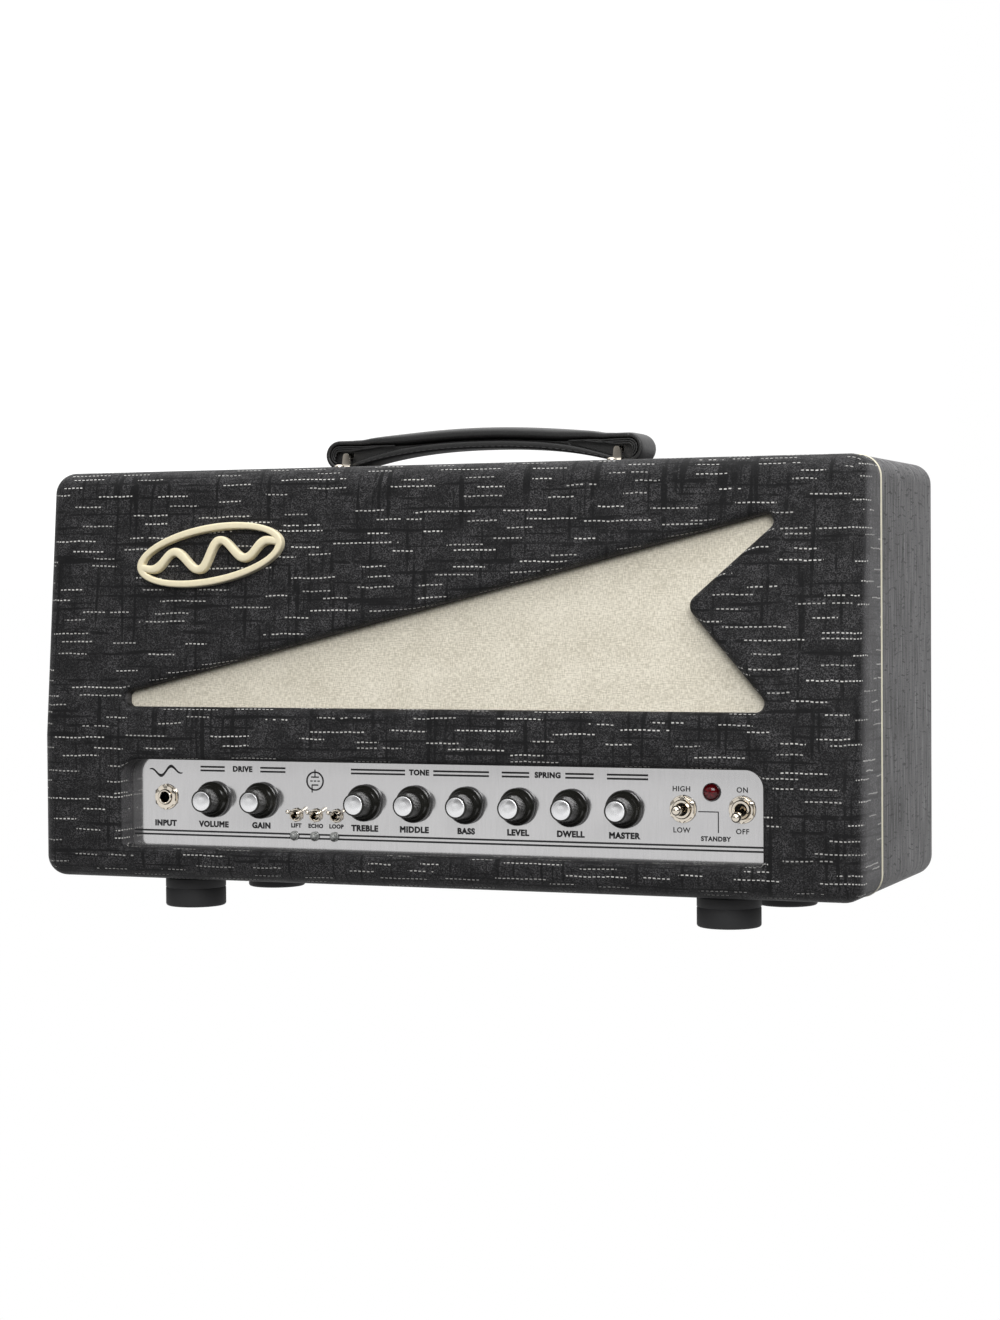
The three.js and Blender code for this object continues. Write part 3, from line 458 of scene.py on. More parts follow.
def leather(name, tint, roughness):
    """Finished leather: fine pores over shallow creases."""
    made = Finish(name, tint, roughness, Specular_IOR_Level=0.5)
    x, y, z = made.place()
    pores = noise(x / 0.9, y / 0.9 + z / 0.9, 41.0, 4.0)
    creases = noise(x / 7, y / 2.2 + z / 2.2, 42.0, 2.0)
    lift = tuple(min(1.0, value * 2.2 + 0.006) for value in tint)
    made.paint(pores.ramp(0.35, 0.75), tint, lift)
    made.vary("Roughness", pores * 0.24 + creases * 0.12 + (roughness - 0.16))
    made.bump(pores + creases * 0.6, 0.16, 0.7)
    return made.material


def plain_plastic(name, tint, roughness, fine=0.6, depth=0.03, wear=0.35):
    """Moulded plastic or rubber: a fine moulded grain and a faint drift of tone."""
    made = Finish(name, tint, roughness, Specular_IOR_Level=0.45)
    x, y, z = made.place()
    grain = noise(x / fine, y / fine + z / fine, 51.0, 3.0)
    drift = noise(x / 17, y / 17 + z / 13, 52.0)
    lift = tuple(min(1.0, value * (1 + wear) + 0.004) for value in tint)
    made.paint((grain * 0.6 + drift * 0.4).ramp(0.3, 0.75), tint, lift)
    made.vary("Roughness", grain * 0.12 + drift * 0.12 + (roughness - 0.1))
    made.bump(grain, depth, 0.6)
    return made.material


def metal(name, tint, roughness, stretch=(1.0, 1.0, 1.0), marks=0.14, depth=0.01):
    """Metal with fine marks, drawn out along x, y or z as far as stretch says."""
    made = Finish(name, tint, roughness, Metallic=1.0)
    x, y, z = made.place()
    lines = noise(x / (0.5 * stretch[0]), y / (0.5 * stretch[1]) + z / (0.5 * stretch[2]), 61.0, 3.0)
    drift = noise(x / 24, y / 24 + z / 19, 62.0)
    dark = tuple(value * 0.82 for value in tint)
    made.paint((lines * 0.5 + drift * 0.5).ramp(0.25, 0.75), dark, tint)
    made.vary("Roughness", lines * marks + drift * 0.08 + (roughness - marks / 2 - 0.04))
    made.bump(lines, depth, 0.4)
    return made.material


def polished_panel():
    """Polished aluminium that mirrors what stands on it, with a faint upright grain."""
    made = Finish("panel_aluminium", (0.60, 0.595, 0.60), 0.12, Metallic=0.86)
    x, _, z = made.place()
    lines = noise(x / 0.9, z / 16, 71.0, 2.0)
    drift = noise(x / 70, z / 40, 72.0)
    made.paint((lines * 0.5 + drift * 0.5).ramp(0.25, 0.75), (0.53, 0.525, 0.528), (0.59, 0.585, 0.587))
    made.vary("Roughness", lines * 0.05 + 0.09)
    made.bump(lines, 0.0012, 0.3)
    return made.material


def spun_metal(name, tint):
    """A turned face, with rings about each knob's own middle; the light fans out across them."""
    made = Finish(name, tint, 0.3, Metallic=1.0, Anisotropic=0.75)
    tangent = made.tree.nodes.new("ShaderNodeTangent")
    tangent.direction_type = "RADIAL"
    tangent.axis = "Y"
    made.tree.links.new(tangent.outputs[0], made.shader.inputs["Tangent"])
    x, z = made.grain()
    radius = (x * x + z * z).power(0.5)
    rings = noise(radius / 0.22, radius, 75.0, 2.0)
    made.paint(rings.ramp(0.3, 0.7), tuple(value * 0.86 for value in tint), tint)
    made.vary("Roughness", rings * 0.12 + 0.22)
    return made.material


def plywood():
    """Warm wood with drawn-out lines of grain and dark pores."""
    made = Finish("plywood", (0.45, 0.3, 0.17), 0.75, Specular_IOR_Level=0.3)
    x, y, z = made.place()
    warp = noise(x / 90, y / 40 + z / 40, 81.0)
    lines = noise(x / 26 + warp * 2, y / 1.6 + z / 1.6, 82.0, 3.0)
    pores = noise(x / 5, y / 0.3 + z / 0.3, 83.0, 2.0).ramp(0.62, 0.8)
    ground = made.paint(lines.ramp(0.25, 0.75), (0.33, 0.2, 0.1), (0.58, 0.41, 0.24))
    made.over(ground, pores * 0.5, (0.2, 0.115, 0.055))
    made.bump(lines - pores, 0.08, 0.5)
    return made.material


def glass():
    """Clear blown glass with a faint haze."""
    made = Finish("glass", (0.96, 0.98, 0.97), 0.03, Transmission_Weight=1.0, IOR=1.45)
    x, y, z = made.place()
    haze = noise(x / 9, y / 9 + z / 14, 85.0, 3.0)
    made.vary("Roughness", haze * 0.05 + 0.01)
    made.bump(haze, 0.02, 0.2)
    return made.material


def jewel():
    """Deep red glass, with a star painted brighter red as a painted glint of light caught in its facets."""
    made = Finish("red_jewel", (0.10, 0.002, 0.005), 0.06, Specular_IOR_Level=0.35, Coat_Weight=0.15,
                  Coat_Roughness=0.03)
    x, z = made.grain()
    radius = (x * x + z * z).power(0.5)
    turn = z.math("ARCTAN2", x)
    points = 6
    star = (turn * points).sine() * 0.5 + 0.5
    # Painted glint: a six-pointed star of brighter red, standing in for light caught in the jewel's facets.
    glow = star * radius.ramp(4.6, 1.0) * radius.ramp(0.2, 1.4)
    made.paint(glow, (0.055, 0.0008, 0.002), (0.22, 0.004, 0.009))
    return made.material


def lamp_lens():
    """A clouded clear lens."""
    made = Finish("clear_lens", (0.30, 0.31, 0.31), 0.12, Specular_IOR_Level=0.7)
    x, y, z = made.place()
    cloud = noise(x / 0.8, y / 0.8 + z / 0.8, 86.0, 2.0)
    made.paint(cloud.ramp(0.25, 0.75), (0.13, 0.135, 0.13), (0.42, 0.43, 0.42))
    made.vary("Roughness", cloud * 0.1 + 0.08)
    return made.material


def circuit_green():
    """A circuit board with a regular pattern of tracks under its green lacquer."""
    made = Finish("circuit_board", (0.02, 0.12, 0.06), 0.4)
    x, y, z = made.place()
    track = (((x / 5.1).floor() + (y / 5.1 + z / 5.1).floor()) * 0.5).fract()
    weave = noise(x / 0.8, y / 0.8 + z / 0.8, 88.0, 2.0)
    made.paint(track * 0.5 + weave * 0.5, (0.012, 0.085, 0.04), (0.03, 0.17, 0.085))
    made.bump(track * 0.5 + weave * 0.2, 0.05, 0.5)
    return made.material


def laminations():
    """Stacked iron plates, edges outward, under black paint."""
    made = Finish("transformer_black", (0.03, 0.03, 0.032), 0.42, Metallic=0.5)
    x, y, z = made.place()
    sheets = (y / 0.5).fract().ramp(0.0, 0.25)
    rough = noise(x / 3, y / 3 + z / 3, 89.0, 3.0)
    made.paint(sheets * 0.6 + rough * 0.4, (0.012, 0.012, 0.013), (0.06, 0.06, 0.063))
    made.vary("Roughness", rough * 0.25 + 0.3)
    made.bump(sheets + rough * 0.5, 0.08, 0.6)
    return made.material


COVERING = covering()
BOX_COVERING = box_covering()
LINEN = linen()
PLYWOOD = plywood()
PIPING = plain_plastic("piping", (0.70, 0.66, 0.52), 0.5, 1.2, 0.05, 0.08)
CREAM = plain_plastic("cream_moulding", (0.80, 0.72, 0.51), 0.32, 2.5, 0.02, 0.08)
RUBBER = plain_plastic("rubber", (0.011, 0.011, 0.012), 0.72, 0.5, 0.05)
LEATHER = leather("leather", (0.006, 0.006, 0.006), 0.42)
THREAD = plain_plastic("thread", (0.035, 0.035, 0.036), 0.7, 0.3, 0.05)
NICKEL = metal("nickel", (0.74, 0.675, 0.58), 0.12, marks=0.06)
STEEL = metal("steel", (0.55, 0.55, 0.54), 0.38, (30.0, 1.0, 1.0))
ZINC = metal("zinc_screw", (0.5, 0.5, 0.5), 0.3)
BLACK_METAL = plain_plastic("black_metal", (0.018, 0.018, 0.019), 0.45, 0.35, 0.06)
PANEL_METAL = polished_panel()
KNOB_BLACK = plain_plastic("knob_black", (0.011, 0.0108, 0.009), 0.14, 0.8, 0.004)
SPUN = spun_metal("spun_aluminium", (0.84, 0.84, 0.85))
INK = plain_plastic("print_black", (0.008, 0.008, 0.009), 0.7, 0.4, 0.01)
WHITE_INK = plain_plastic("print_white", (0.78, 0.78, 0.76), 0.5, 0.4, 0.01, 0.05)
BLACK_PLASTIC = plain_plastic("black_plastic", (0.014, 0.014, 0.015), 0.45, 0.7, 0.03)
GLASS = glass()
RED_LENS = jewel()
CLEAR_LENS = lamp_lens()
BOARD_GREEN = circuit_green()
CORE_BLACK = laminations()
CAN_METAL = metal("aluminium_can", (0.76, 0.76, 0.77), 0.3, (1.0, 1.0, 20.0))
BRASS = metal("brass", (0.72, 0.53, 0.25), 0.25)
PLATE_GREY = plain_plastic("valve_plate", (0.06, 0.06, 0.063), 0.6, 0.5, 0.03)
MICA = plain_plastic("mica", (0.42, 0.36, 0.27), 0.4, 0.6, 0.02)


# ---------------------------------------------------------------- shapes
class Shape:
    """Vertices in millimetres and faces as (indices, material)."""

    def __init__(self, verts=(), faces=()):
        self.verts = [Vector(v) for v in verts]
        self.faces = list(faces)

    def add(self, other):
        offset = len(self.verts)
        self.verts += other.verts
        self.faces += [([i + offset for i in face], material) for face, material in other.faces]
        return self

    def moved(self, matrix):
        return Shape([matrix @ v for v in self.verts], self.faces)

    def shifted(self, x=0.0, y=0.0, z=0.0):
        return self.moved(Matrix.Translation((x, y, z)))


def together(shapes):
    whole = Shape()
    for shape in shapes:
        whole.add(shape)
    return whole


def skin(rings, material, closed=False):
    """Skin over rings of equal length. Its ends are capped, or the last ring joins the first."""
    count = len(rings[0])
    shape = Shape([v for ring in rings for v in ring])
    last = len(rings) if closed else len(rings) - 1
    for r in range(last):
        here, there = r * count, (r + 1) % len(rings) * count
        for i in range(count):
            j = (i + 1) % count
            shape.faces.append(([here + i, here + j, there + j, there + i], material))
    if not closed:
        shape.faces.append((list(range(count))[::-1], material))
        shape.faces.append(([last * count + i for i in range(count)], material))
    return shape


def turns(count):
    """The angles of count even steps round a circle."""
    return [2 * math.pi * k / count for k in range(count)]


def quarter_turns(steps):
    """Angles from 0 to a right angle."""
    return [math.pi / 2 * k / steps for k in range(steps + 1)]


def circle(radius, y, sides):
    return [Vector((radius * math.cos(t), y, radius * math.sin(t))) for t in turns(sides)]


def lathe(profile, sides, material, wave=None):
    """A solid turned about Y, from rows of (radius, y). wave(angle) scales rows that have a third value."""
    rings = []
    for radius, y, *ribbed in profile:
        ring = circle(max(radius, 0.001), y, sides)
        if ribbed:
            ring = [Vector((v.x * wave(t), y, v.z * wave(t))) for v, t in zip(ring, turns(sides))]
        rings.append(ring)
    return skin(rings, material)


def turned_ring(profile, sides, material):
    """A ring turned about Y; its profile, rows of (radius, y), closes on itself."""
    return skin([circle(radius, y, sides) for radius, y in profile], material, closed=True)


def rod(radius, depth, sides, material):
    """A plain round bar along Y between two depths."""
    front, back = depth
    return lathe([(0, front), (radius, front), (radius, back), (0, back)], sides, material)


def dome(radius, rise, rim, steps):
    """Profile of a dome that stands in front of its rim, from its middle outwards."""
    return [(radius * math.sin(t), rim - rise * math.cos(t)) for t in quarter_turns(steps)]


def arc(centre, radius, start, end, steps):
    """Points on an arc, as (u, v), with angles in degrees."""
    turns = [math.radians(start + (end - start) * k / steps) for k in range(steps + 1)]
    return [(centre[0] + radius * math.cos(t), centre[1] + radius * math.sin(t)) for t in turns]


def block(x, y, z, material, edge=0.0, steps=2):
    """A box between two corners, its edges rounded."""
    mesh = bmesh.new()
    bmesh.ops.create_cube(mesh, size=1.0)
    for v in mesh.verts:
        v.co = Vector((x[0] + (v.co.x + 0.5) * (x[1] - x[0]), y[0] + (v.co.y + 0.5) * (y[1] - y[0]),
                       z[0] + (v.co.z + 0.5) * (z[1] - z[0])))
    if edge:
        bmesh.ops.bevel(mesh, geom=mesh.edges[:], offset=edge, segments=steps, profile=0.5, affect="EDGES")
    mesh.verts.index_update()
    faces = [([v.index for v in face.verts], material) for face in mesh.faces]
    shape = Shape([v.co.copy() for v in mesh.verts], faces)
    mesh.free()
    return shape


def slab(low, high, material, edge):
    return block((low.x, high.x), (low.y, high.y), (low.z, high.z), material, edge)


def about(middle, half):
    return (middle - half, middle + half)


def rounded_outline(corners, steps):
    """Corners are (u, v, radius), anticlockwise. The result gives the outline grown by any amount."""
    arcs = []
    for i, (u, v, radius) in enumerate(corners):
        here = Vector((u, v))
        back = (Vector(corners[i - 1][:2]) - here).normalized()
        ahead = (Vector(corners[(i + 1) % len(corners)][:2]) - here).normalized()
        half_angle = math.acos(max(-1.0, min(1.0, back.dot(ahead)))) / 2
        convex = back.x * ahead.y - back.y * ahead.x < 0
        middle = here + (back + ahead).normalized() * (radius / math.sin(half_angle))
        run = radius / math.tan(half_angle)
        first = (here + back * run - middle).normalized()
        second = (here + ahead * run - middle).normalized()
        turn = math.atan2(first.x * second.y - first.y * second.x, first.dot(second))
        arcs.append((middle, first, turn, convex, radius))

    def outline(grow=0.0):
        points = []
        for middle, first, turn, convex, radius in arcs:
            reach = radius + grow if convex else radius - grow
            for k in range(steps + 1):
                angle = turn * k / steps
                way = Vector((first.x * math.cos(angle) - first.y * math.sin(angle),
                              first.x * math.sin(angle) + first.y * math.cos(angle)))
                points.append((middle.x + way.x * reach, middle.y + way.y * reach))
        return points
    return outline


def rectangle(half_width, low, high, bottom_radius, top_radius=None):
    top = bottom_radius if top_radius is None else top_radius
    return [(half_width, low, bottom_radius), (half_width, high, top), (-half_width, high, top),
            (-half_width, low, bottom_radius)]


def at_depth(points, y):
    """A ring of points of x and z, all at one depth."""
    return [Vector((x, y, z)) for x, z in points]


def flared(outline, stations, material, closed=False):
    """Skin over one outline of x and z at several depths; stations are (depth, growth)."""
    return skin([at_depth(outline(grow), y) for y, grow in stations], material, closed)


def quarter_round(radius, steps):
    """Stations of a rounded edge of an opening, from the straight wall to the face at depth 0."""
    return [(radius - radius * math.sin(a), radius - radius * math.cos(a)) for a in quarter_turns(steps)]


def build(name, shape, body=None, replaces=(), crease=32, place=Matrix()):
    """Makes the piece in metres, smooth except at creases sharper than the angle given, and lets it ride."""
    mesh = bpy.data.meshes.new(name)
    mesh.from_pydata([HEAD @ (place @ v) for v in shape.verts], [], [face for face, _ in shape.faces])
    materials = []
    for _, material in shape.faces:
        if material not in materials:
            materials.append(material)
            mesh.materials.append(material)
    for polygon, (_, material) in zip(mesh.polygons, shape.faces):
        polygon.material_index = materials.index(material)
    mesh.validate()
    work = bmesh.new()
    work.from_mesh(mesh)
    bmesh.ops.remove_doubles(work, verts=work.verts, dist=1e-7)
    bmesh.ops.dissolve_degenerate(work, dist=1e-8, edges=work.edges)
    bmesh.ops.recalc_face_normals(work, faces=work.faces)
    work.to_mesh(mesh)
    work.free()
    piece = bpy.data.objects.new(name, mesh)
    bpy.context.scene.collection.objects.link(piece)
    smooth(piece, crease)
    if body:
        settle(piece, body, replaces)
    return piece


def taken_back(piece, material):
    """A finished piece as a shape again; the piece is used up."""
    shape = Shape([TO_HEAD @ v.co for v in piece.data.vertices],
                  [(list(face.vertices), material) for face in piece.data.polygons])
    bpy.data.objects.remove(piece)
    return shape


def smooth(piece, crease):
    """Shades a piece smooth, except at edges sharper than the crease angle."""
    piece.data.shade_smooth()
    piece.data.set_sharp_from_angle(angle=math.radians(crease))


def keep_flat(piece, area_mm2):
    """Marks the rims of large flat faces as creases, so that their shading stays flat to the edge."""
    mesh = piece.data
    large = {edge for face in mesh.polygons if face.area > area_mm2 * MM * MM for edge in face.edge_keys}
    marks = mesh.attributes.get("sharp_edge") or mesh.attributes.new("sharp_edge", "BOOLEAN", "EDGE")
    for edge in mesh.edges:
        if edge.key in large:
            marks.data[edge.index].value = True


def settle(piece, body, replaces=()):
    """Says which body a piece moves with and the CAD nodes that it replaces."""
    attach(piece, body)
    if replaces:
        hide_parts(*replaces)


def freeze(piece):
    """Applies a piece's modifiers."""
    graph = bpy.context.evaluated_depsgraph_get()
    made = bpy.data.meshes.new_from_object(piece.evaluated_get(graph))
    piece.modifiers.clear()
    piece.data = made


def carve(piece, cutters, operation="DIFFERENCE"):
    """Cuts or joins whole bodies exactly; the cutters are used up."""
    for cutter in cutters:
        change = piece.modifiers.new("carve", "BOOLEAN")
        change.operation = operation
        change.solver = "EXACT"
        change.object = cutter
    freeze(piece)
    for cutter in cutters:
        bpy.data.objects.remove(cutter)


def round_edges(piece, width, segments=2, angle=40):
    change = piece.modifiers.new("round", "BEVEL")
    change.width = width * MM
    change.segments = segments
    change.limit_method = "ANGLE"
    change.angle_limit = math.radians(angle)
    freeze(piece)
    smooth(piece, crease=50)


def lay_grain(piece, wrap):
    """Writes the grain layer: wrap(point, normal) gives millimetres along and across the covering."""
    mesh = piece.data
    layer = mesh.uv_layers.get("grain") or mesh.uv_layers.new(name="grain")
    for polygon in mesh.polygons:
        for loop in polygon.loop_indices:
            point = TO_HEAD @ mesh.vertices[mesh.loops[loop].vertex_index].co
            u, v = wrap(point, polygon.normal)
            layer.data[loop].uv = (u * MM, v * MM)


def lay_face_grain(piece, middle):
    """Grain measured from the middle of a round face."""
    lay_grain(piece, lambda point, normal: (point.x - middle.x, point.z - middle.z))


# Turns from facing forward, -Y, to facing backward, down and up; and from standing along Y to along Z.
FACE_BACK = Matrix.Rotation(math.pi, 4, "Z")
FACE_DOWN = Matrix.Rotation(math.pi / 2, 4, "X")
FACE_UP = Matrix.Rotation(-math.pi / 2, 4, "X")
UPRIGHT = Matrix(((1, 0, 0, 0), (0, 0, 1, 0), (0, 1, 0, 0), (0, 0, 0, 1)))


# ---------------------------------------------------------------- front frame
CABINET = rounded_outline(rectangle(WIDTH / 2, 0, HEIGHT, EDGE_RADIUS), 10)
PANEL_WINDOW = rounded_outline(rectangle(WINDOW_HALF_WIDTH, WINDOW_LOW, WINDOW_HIGH, 3, 10.5), 10)
PANEL_ROUNDOVER = 4
GRILLE_ROUNDOVER = 5
# The grille window: a long pointed wedge with a notched right end, in x and height up the slope.
GRILLE_WINDOW = rounded_outline([
    (-203, 19, 4), (211.2, 19, 5), (157, 80.1, 6.8), (220.9, 136.4, 4.6), (-203, 28.2, 4)], 8)


def lean_at(height):
    """How far the upper front lies behind the lower front."""
    return max(0.0, height - CREASE_HEIGHT) * math.tan(LEAN)


def cabinet_ring(inset, steps):
    """One cross-section of the cabinet, with two points on the crease line."""
    radius = EDGE_RADIUS - inset
    side = WIDTH / 2 - inset
    points = rounded_outline(rectangle(side, inset, HEIGHT - inset, radius), steps)()
    points.insert(3 * (steps + 1), (-side, CREASE_HEIGHT))
    points.insert(steps + 1, (side, CREASE_HEIGHT))
    return points


def make_front_frame():
    """The covered frame: a rounded block, hollowed from behind and cut by the two windows."""
    steps = 12
    rings = [at_depth(cabinet_ring(0, steps), FRAME_DEPTH)]
    for angle in reversed(quarter_turns(steps)):
        inset = min(EDGE_RADIUS * (1 - math.sin(angle)), EDGE_RADIUS - 0.001)
        depth = EDGE_RADIUS * (1 - math.cos(angle))
        rings.append([Vector((x, depth + lean_at(z), z)) for x, z in cabinet_ring(inset, steps)])
    shape = skin(rings, COVERING)
    # The front cap is split along the crease, because its two halves lie in different planes.
    face, material = shape.faces.pop()
    right, left = steps + 1, 3 * (steps + 1) + 1
    shape.faces.append((face[right:left + 1], material))
    shape.faces.append((face[left:] + face[:right + 1], material))
    frame_piece = build("front_frame_cover", shape)

    high = HEIGHT - WALL
    behind = UPPER_BOARD / math.cos(LEAN)
    step = CREASE_HEIGHT + 3
    hollow_side = [(FRAME_DEPTH + 1, WALL), (FRAME_DEPTH + 1, high), (lean_at(high) + behind, high),
                   (lean_at(step) + behind, step), (LOWER_BOARD, step), (LOWER_BOARD, WALL)]
    reach = WIDTH / 2 - WALL
    hollow = skin([[Vector((x, y, z)) for y, z in hollow_side] for x in (-reach, reach)], PLYWOOD)
    panel_cut = flared(PANEL_WINDOW, [(LOWER_BOARD + 1, 0), *quarter_round(PANEL_ROUNDOVER, 8),
                                      (-1, PANEL_ROUNDOVER)], COVERING)
    grille_cut = flared(GRILLE_WINDOW, [(UPPER_BOARD + 2, 0), *quarter_round(GRILLE_ROUNDOVER, 8),
                                        (-1, GRILLE_ROUNDOVER)], COVERING)
    carve(frame_piece, [build("hollow", hollow), build("panel_cut", panel_cut),
                        build("grille_cut", grille_cut, place=SLOPE)])
    smooth(frame_piece, crease=30)
    keep_flat(frame_piece, area_mm2=2000)

    def wrap(point, normal):
        """The covering's threads run straight on over every roundover and down into the windows."""
        depth = point.y - lean_at(point.z)
        way = Vector((normal.x, normal.z))
        if way.length < 0.02:
            return point.x, point.z
        outside = (abs(point.x) > WIDTH / 2 - EDGE_RADIUS - 1 or point.z > HEIGHT - EDGE_RADIUS - 1
                   or point.z < EDGE_RADIUS + 1)
        if outside and abs(way.x) > abs(way.y):
            way = Vector((math.copysign(1, way.x), 0))
        elif outside:
            way = Vector((0, math.copysign(1, way.y)))
        else:
            way.normalize()
        return point.x + depth * way.x, point.z + depth * way.y
    lay_grain(frame_piece, wrap)
    settle(frame_piece, "head", ["front_frame"])


def make_welt():
    """A round bead between the frame and the box, with the flat tape that holds it."""
    bead_depth = (FRAME_DEPTH + SHELL_FRONT) / 2
    half = (SHELL_FRONT - FRAME_DEPTH) / 2 - 0.3
    tape = -5.0
    stands_out = 0.5
    bead = [(bead_depth + half * math.cos(t), stands_out * math.sin(t))
            for t in [math.pi * k / 10 for k in range(11)]]
    stations = [(bead_depth + half, tape), *bead, (bead_depth - half, tape)]
    bead_ring = flared(CABINET, stations, PIPING, closed=True)
    build("welt_bead", bead_ring, "head", ["welt_piping"], crease=60)


# ---------------------------------------------------------------- cabinet box
def make_box():
    """The wooden box behind the frame, open at both ends, with the cleats that hold its rear cover."""
    inner = rounded_outline(rectangle(WIDTH / 2 - WALL, WALL, HEIGHT - WALL, 2), 10)
    rear_edge = [at_depth(CABINET(-grow), SHELL_REAR - y)
                 for y, grow in reversed(quarter_round(REAR_EDGE_RADIUS, 8))]
    front_fold = [at_depth(CABINET(-grow), SHELL_FRONT + y) for y, grow in quarter_round(1.2, 4)]
    rings = [at_depth(inner(), SHELL_FRONT), at_depth(inner(), SHELL_REAR), *rear_edge, *front_fold]
    shape = skin(rings, BOX_COVERING, closed=True)
    # The first ring of faces is the bare wood inside.
    for i in range(len(rings[0])):
        shape.faces[i] = (shape.faces[i][0], PLYWOOD)
    box_piece = build("cabinet_box", shape, crease=40)

    def wrap(point, normal):
        """On the sides the covering's threads stand upright, and on the top they run across."""
        if abs(normal.y) > 0.9:
            return point.x, point.z
        if abs(normal.x) > abs(normal.z):
            return point.z, point.y + math.copysign(300, normal.x)
        return point.x, point.y
    lay_grain(box_piece, wrap)
    settle(box_piece, "head", ["cabinet_shell"])

    cleat_depth = (151, 165.4)
    cleat_width = 12
    cleat_foot = 84
    reach = 240.5
    ceiling = HEIGHT - WALL
    cleats = [block(about(side * reach, cleat_width / 2), cleat_depth, (cleat_foot, ceiling), PLYWOOD, 0.8)
              for side in (-1, 1)]
    cleats.append(block(about(0, 234), cleat_depth, (ceiling - cleat_width, ceiling), PLYWOOD, 0.8))
    build("rear_cleats", together(cleats), "head")


def screw_head(radius, height, material):
    """A raised countersunk head, its face towards -Y, seated at y = 0."""
    raised = [(radius * math.sin(t), -height * math.cos(t) ** 0.6) for t in quarter_turns(8)[:-1]]
    return lathe([*raised, (radius, 0), (radius * 0.9, 0.3), (0, 0.3)], 28, material)


def cross_slot(radius, height):
    """The two arms that cut a cross into a screw head."""
    depth = (-height - 1, -height * 0.25)
    long_way, short_way = about(0, radius * 0.62), about(0, radius * 0.13)
    return [block(long_way, depth, short_way, ZINC), block(short_way, depth, long_way, ZINC)]


def make_screws(name, places, turn, radius, height, washer=False, finish=ZINC):
    """Cross-head screws at places in head millimetres; turn takes -Y to the way that they face."""
    master = build("screw", screw_head(radius, height, finish))
    carve(master, [build("arm", arm) for arm in cross_slot(radius, height)])
    one = taken_back(master, finish)
    if washer:
        cup = [(radius * 0.9, 0.1), (radius * 1.05, -height * 0.45), (radius * 1.3, -height * 0.3),
               (radius * 1.62, 0.35), (radius * 0.9, 0.35)]
        one = together([one, turned_ring(cup, 32, finish)])
    rng = random.Random(name)
    shapes = []
    for place in places:
        spin = Matrix.Rotation(rng.uniform(0, math.pi / 2), 4, "Y")
        shapes.append(one.moved(Matrix.Translation(place) @ turn @ spin))
    build(name, together(shapes), "head")


# ---------------------------------------------------------------- rear cover and vent
COVER_LOW, COVER_HIGH = node_box("rear_cover")
VENT_HALF_WIDTH = 150
VENT_LOW = 108
VENT_HIGH = 190


def make_rear_cover():
    """A covered board with a rounded opening for the vent, held by six screws in cup washers."""
    half = (COVER_HIGH.x - COVER_LOW.x) / 2
    edge = 2.0
    outline = rounded_outline(rectangle(half, COVER_LOW.z, COVER_HIGH.z, 3), 6)
    stations = [(COVER_LOW.y, 0), *[(COVER_HIGH.y - y, -g) for y, g in reversed(quarter_round(edge, 5))]]
    piece = build("rear_cover_board", flared(outline, stations, COVERING))
    vent = rounded_outline(rectangle(VENT_HALF_WIDTH, VENT_LOW, VENT_HIGH, 8), 8)
    opening = [(COVER_LOW.y - 1, 0), *[(COVER_HIGH.y - y, g) for y, g in quarter_round(edge, 5)],
               (COVER_HIGH.y + 1, edge)]
    carve(piece, [build("vent_cut", flared(vent, opening, COVERING))])
    smooth(piece, crease=35)
    lay_grain(piece, lambda point, normal: (point.x + point.y * normal.x, point.z + point.y * normal.z))
    settle(piece, "head", ["rear_cover"])
    places = [(x, COVER_HIGH.y, z) for x in (-232, 0, 232) for z in (COVER_LOW.z + 10, COVER_HIGH.z - 10)]
    make_screws("rear_cover_screws", places, FACE_BACK, radius=3.6, height=1.9, washer=True)


def perforated_cell(middle, pitch, radius, depth, sides=12):
    """One square of perforated sheet with a round hole; its outer rim joins the next square's."""
    corners = [(1, 1), (-1, 1), (-1, -1), (1, -1)]
    per_side = sides // 4
    rim = []
    for k in range(4):
        a, b = corners[k], corners[(k + 1) % 4]
        for i in range(per_side):
            t = i / per_side
            rim.append((middle[0] + pitch / 2 * (a[0] + (b[0] - a[0]) * t),
                        middle[1] + pitch / 2 * (a[1] + (b[1] - a[1]) * t)))
    hole = [(middle[0] + radius * math.cos(math.pi / 4 + 2 * math.pi * k / sides),
             middle[1] + radius * math.sin(math.pi / 4 + 2 * math.pi * k / sides)) for k in range(sides)]
    verts = [Vector((x, y, z)) for y in depth for x, z in rim + hole]
    faces = []
    step = 2 * sides
    for k in range(sides):
        j = (k + 1) % sides
        faces.append(([k, j, sides + j, sides + k], BLACK_METAL))
        faces.append(([step + j, step + k, step + sides + k, step + sides + j], BLACK_METAL))
        faces.append(([sides + k, sides + j, step + sides + j, step + sides + k], BLACK_METAL))
    return Shape(verts, faces)


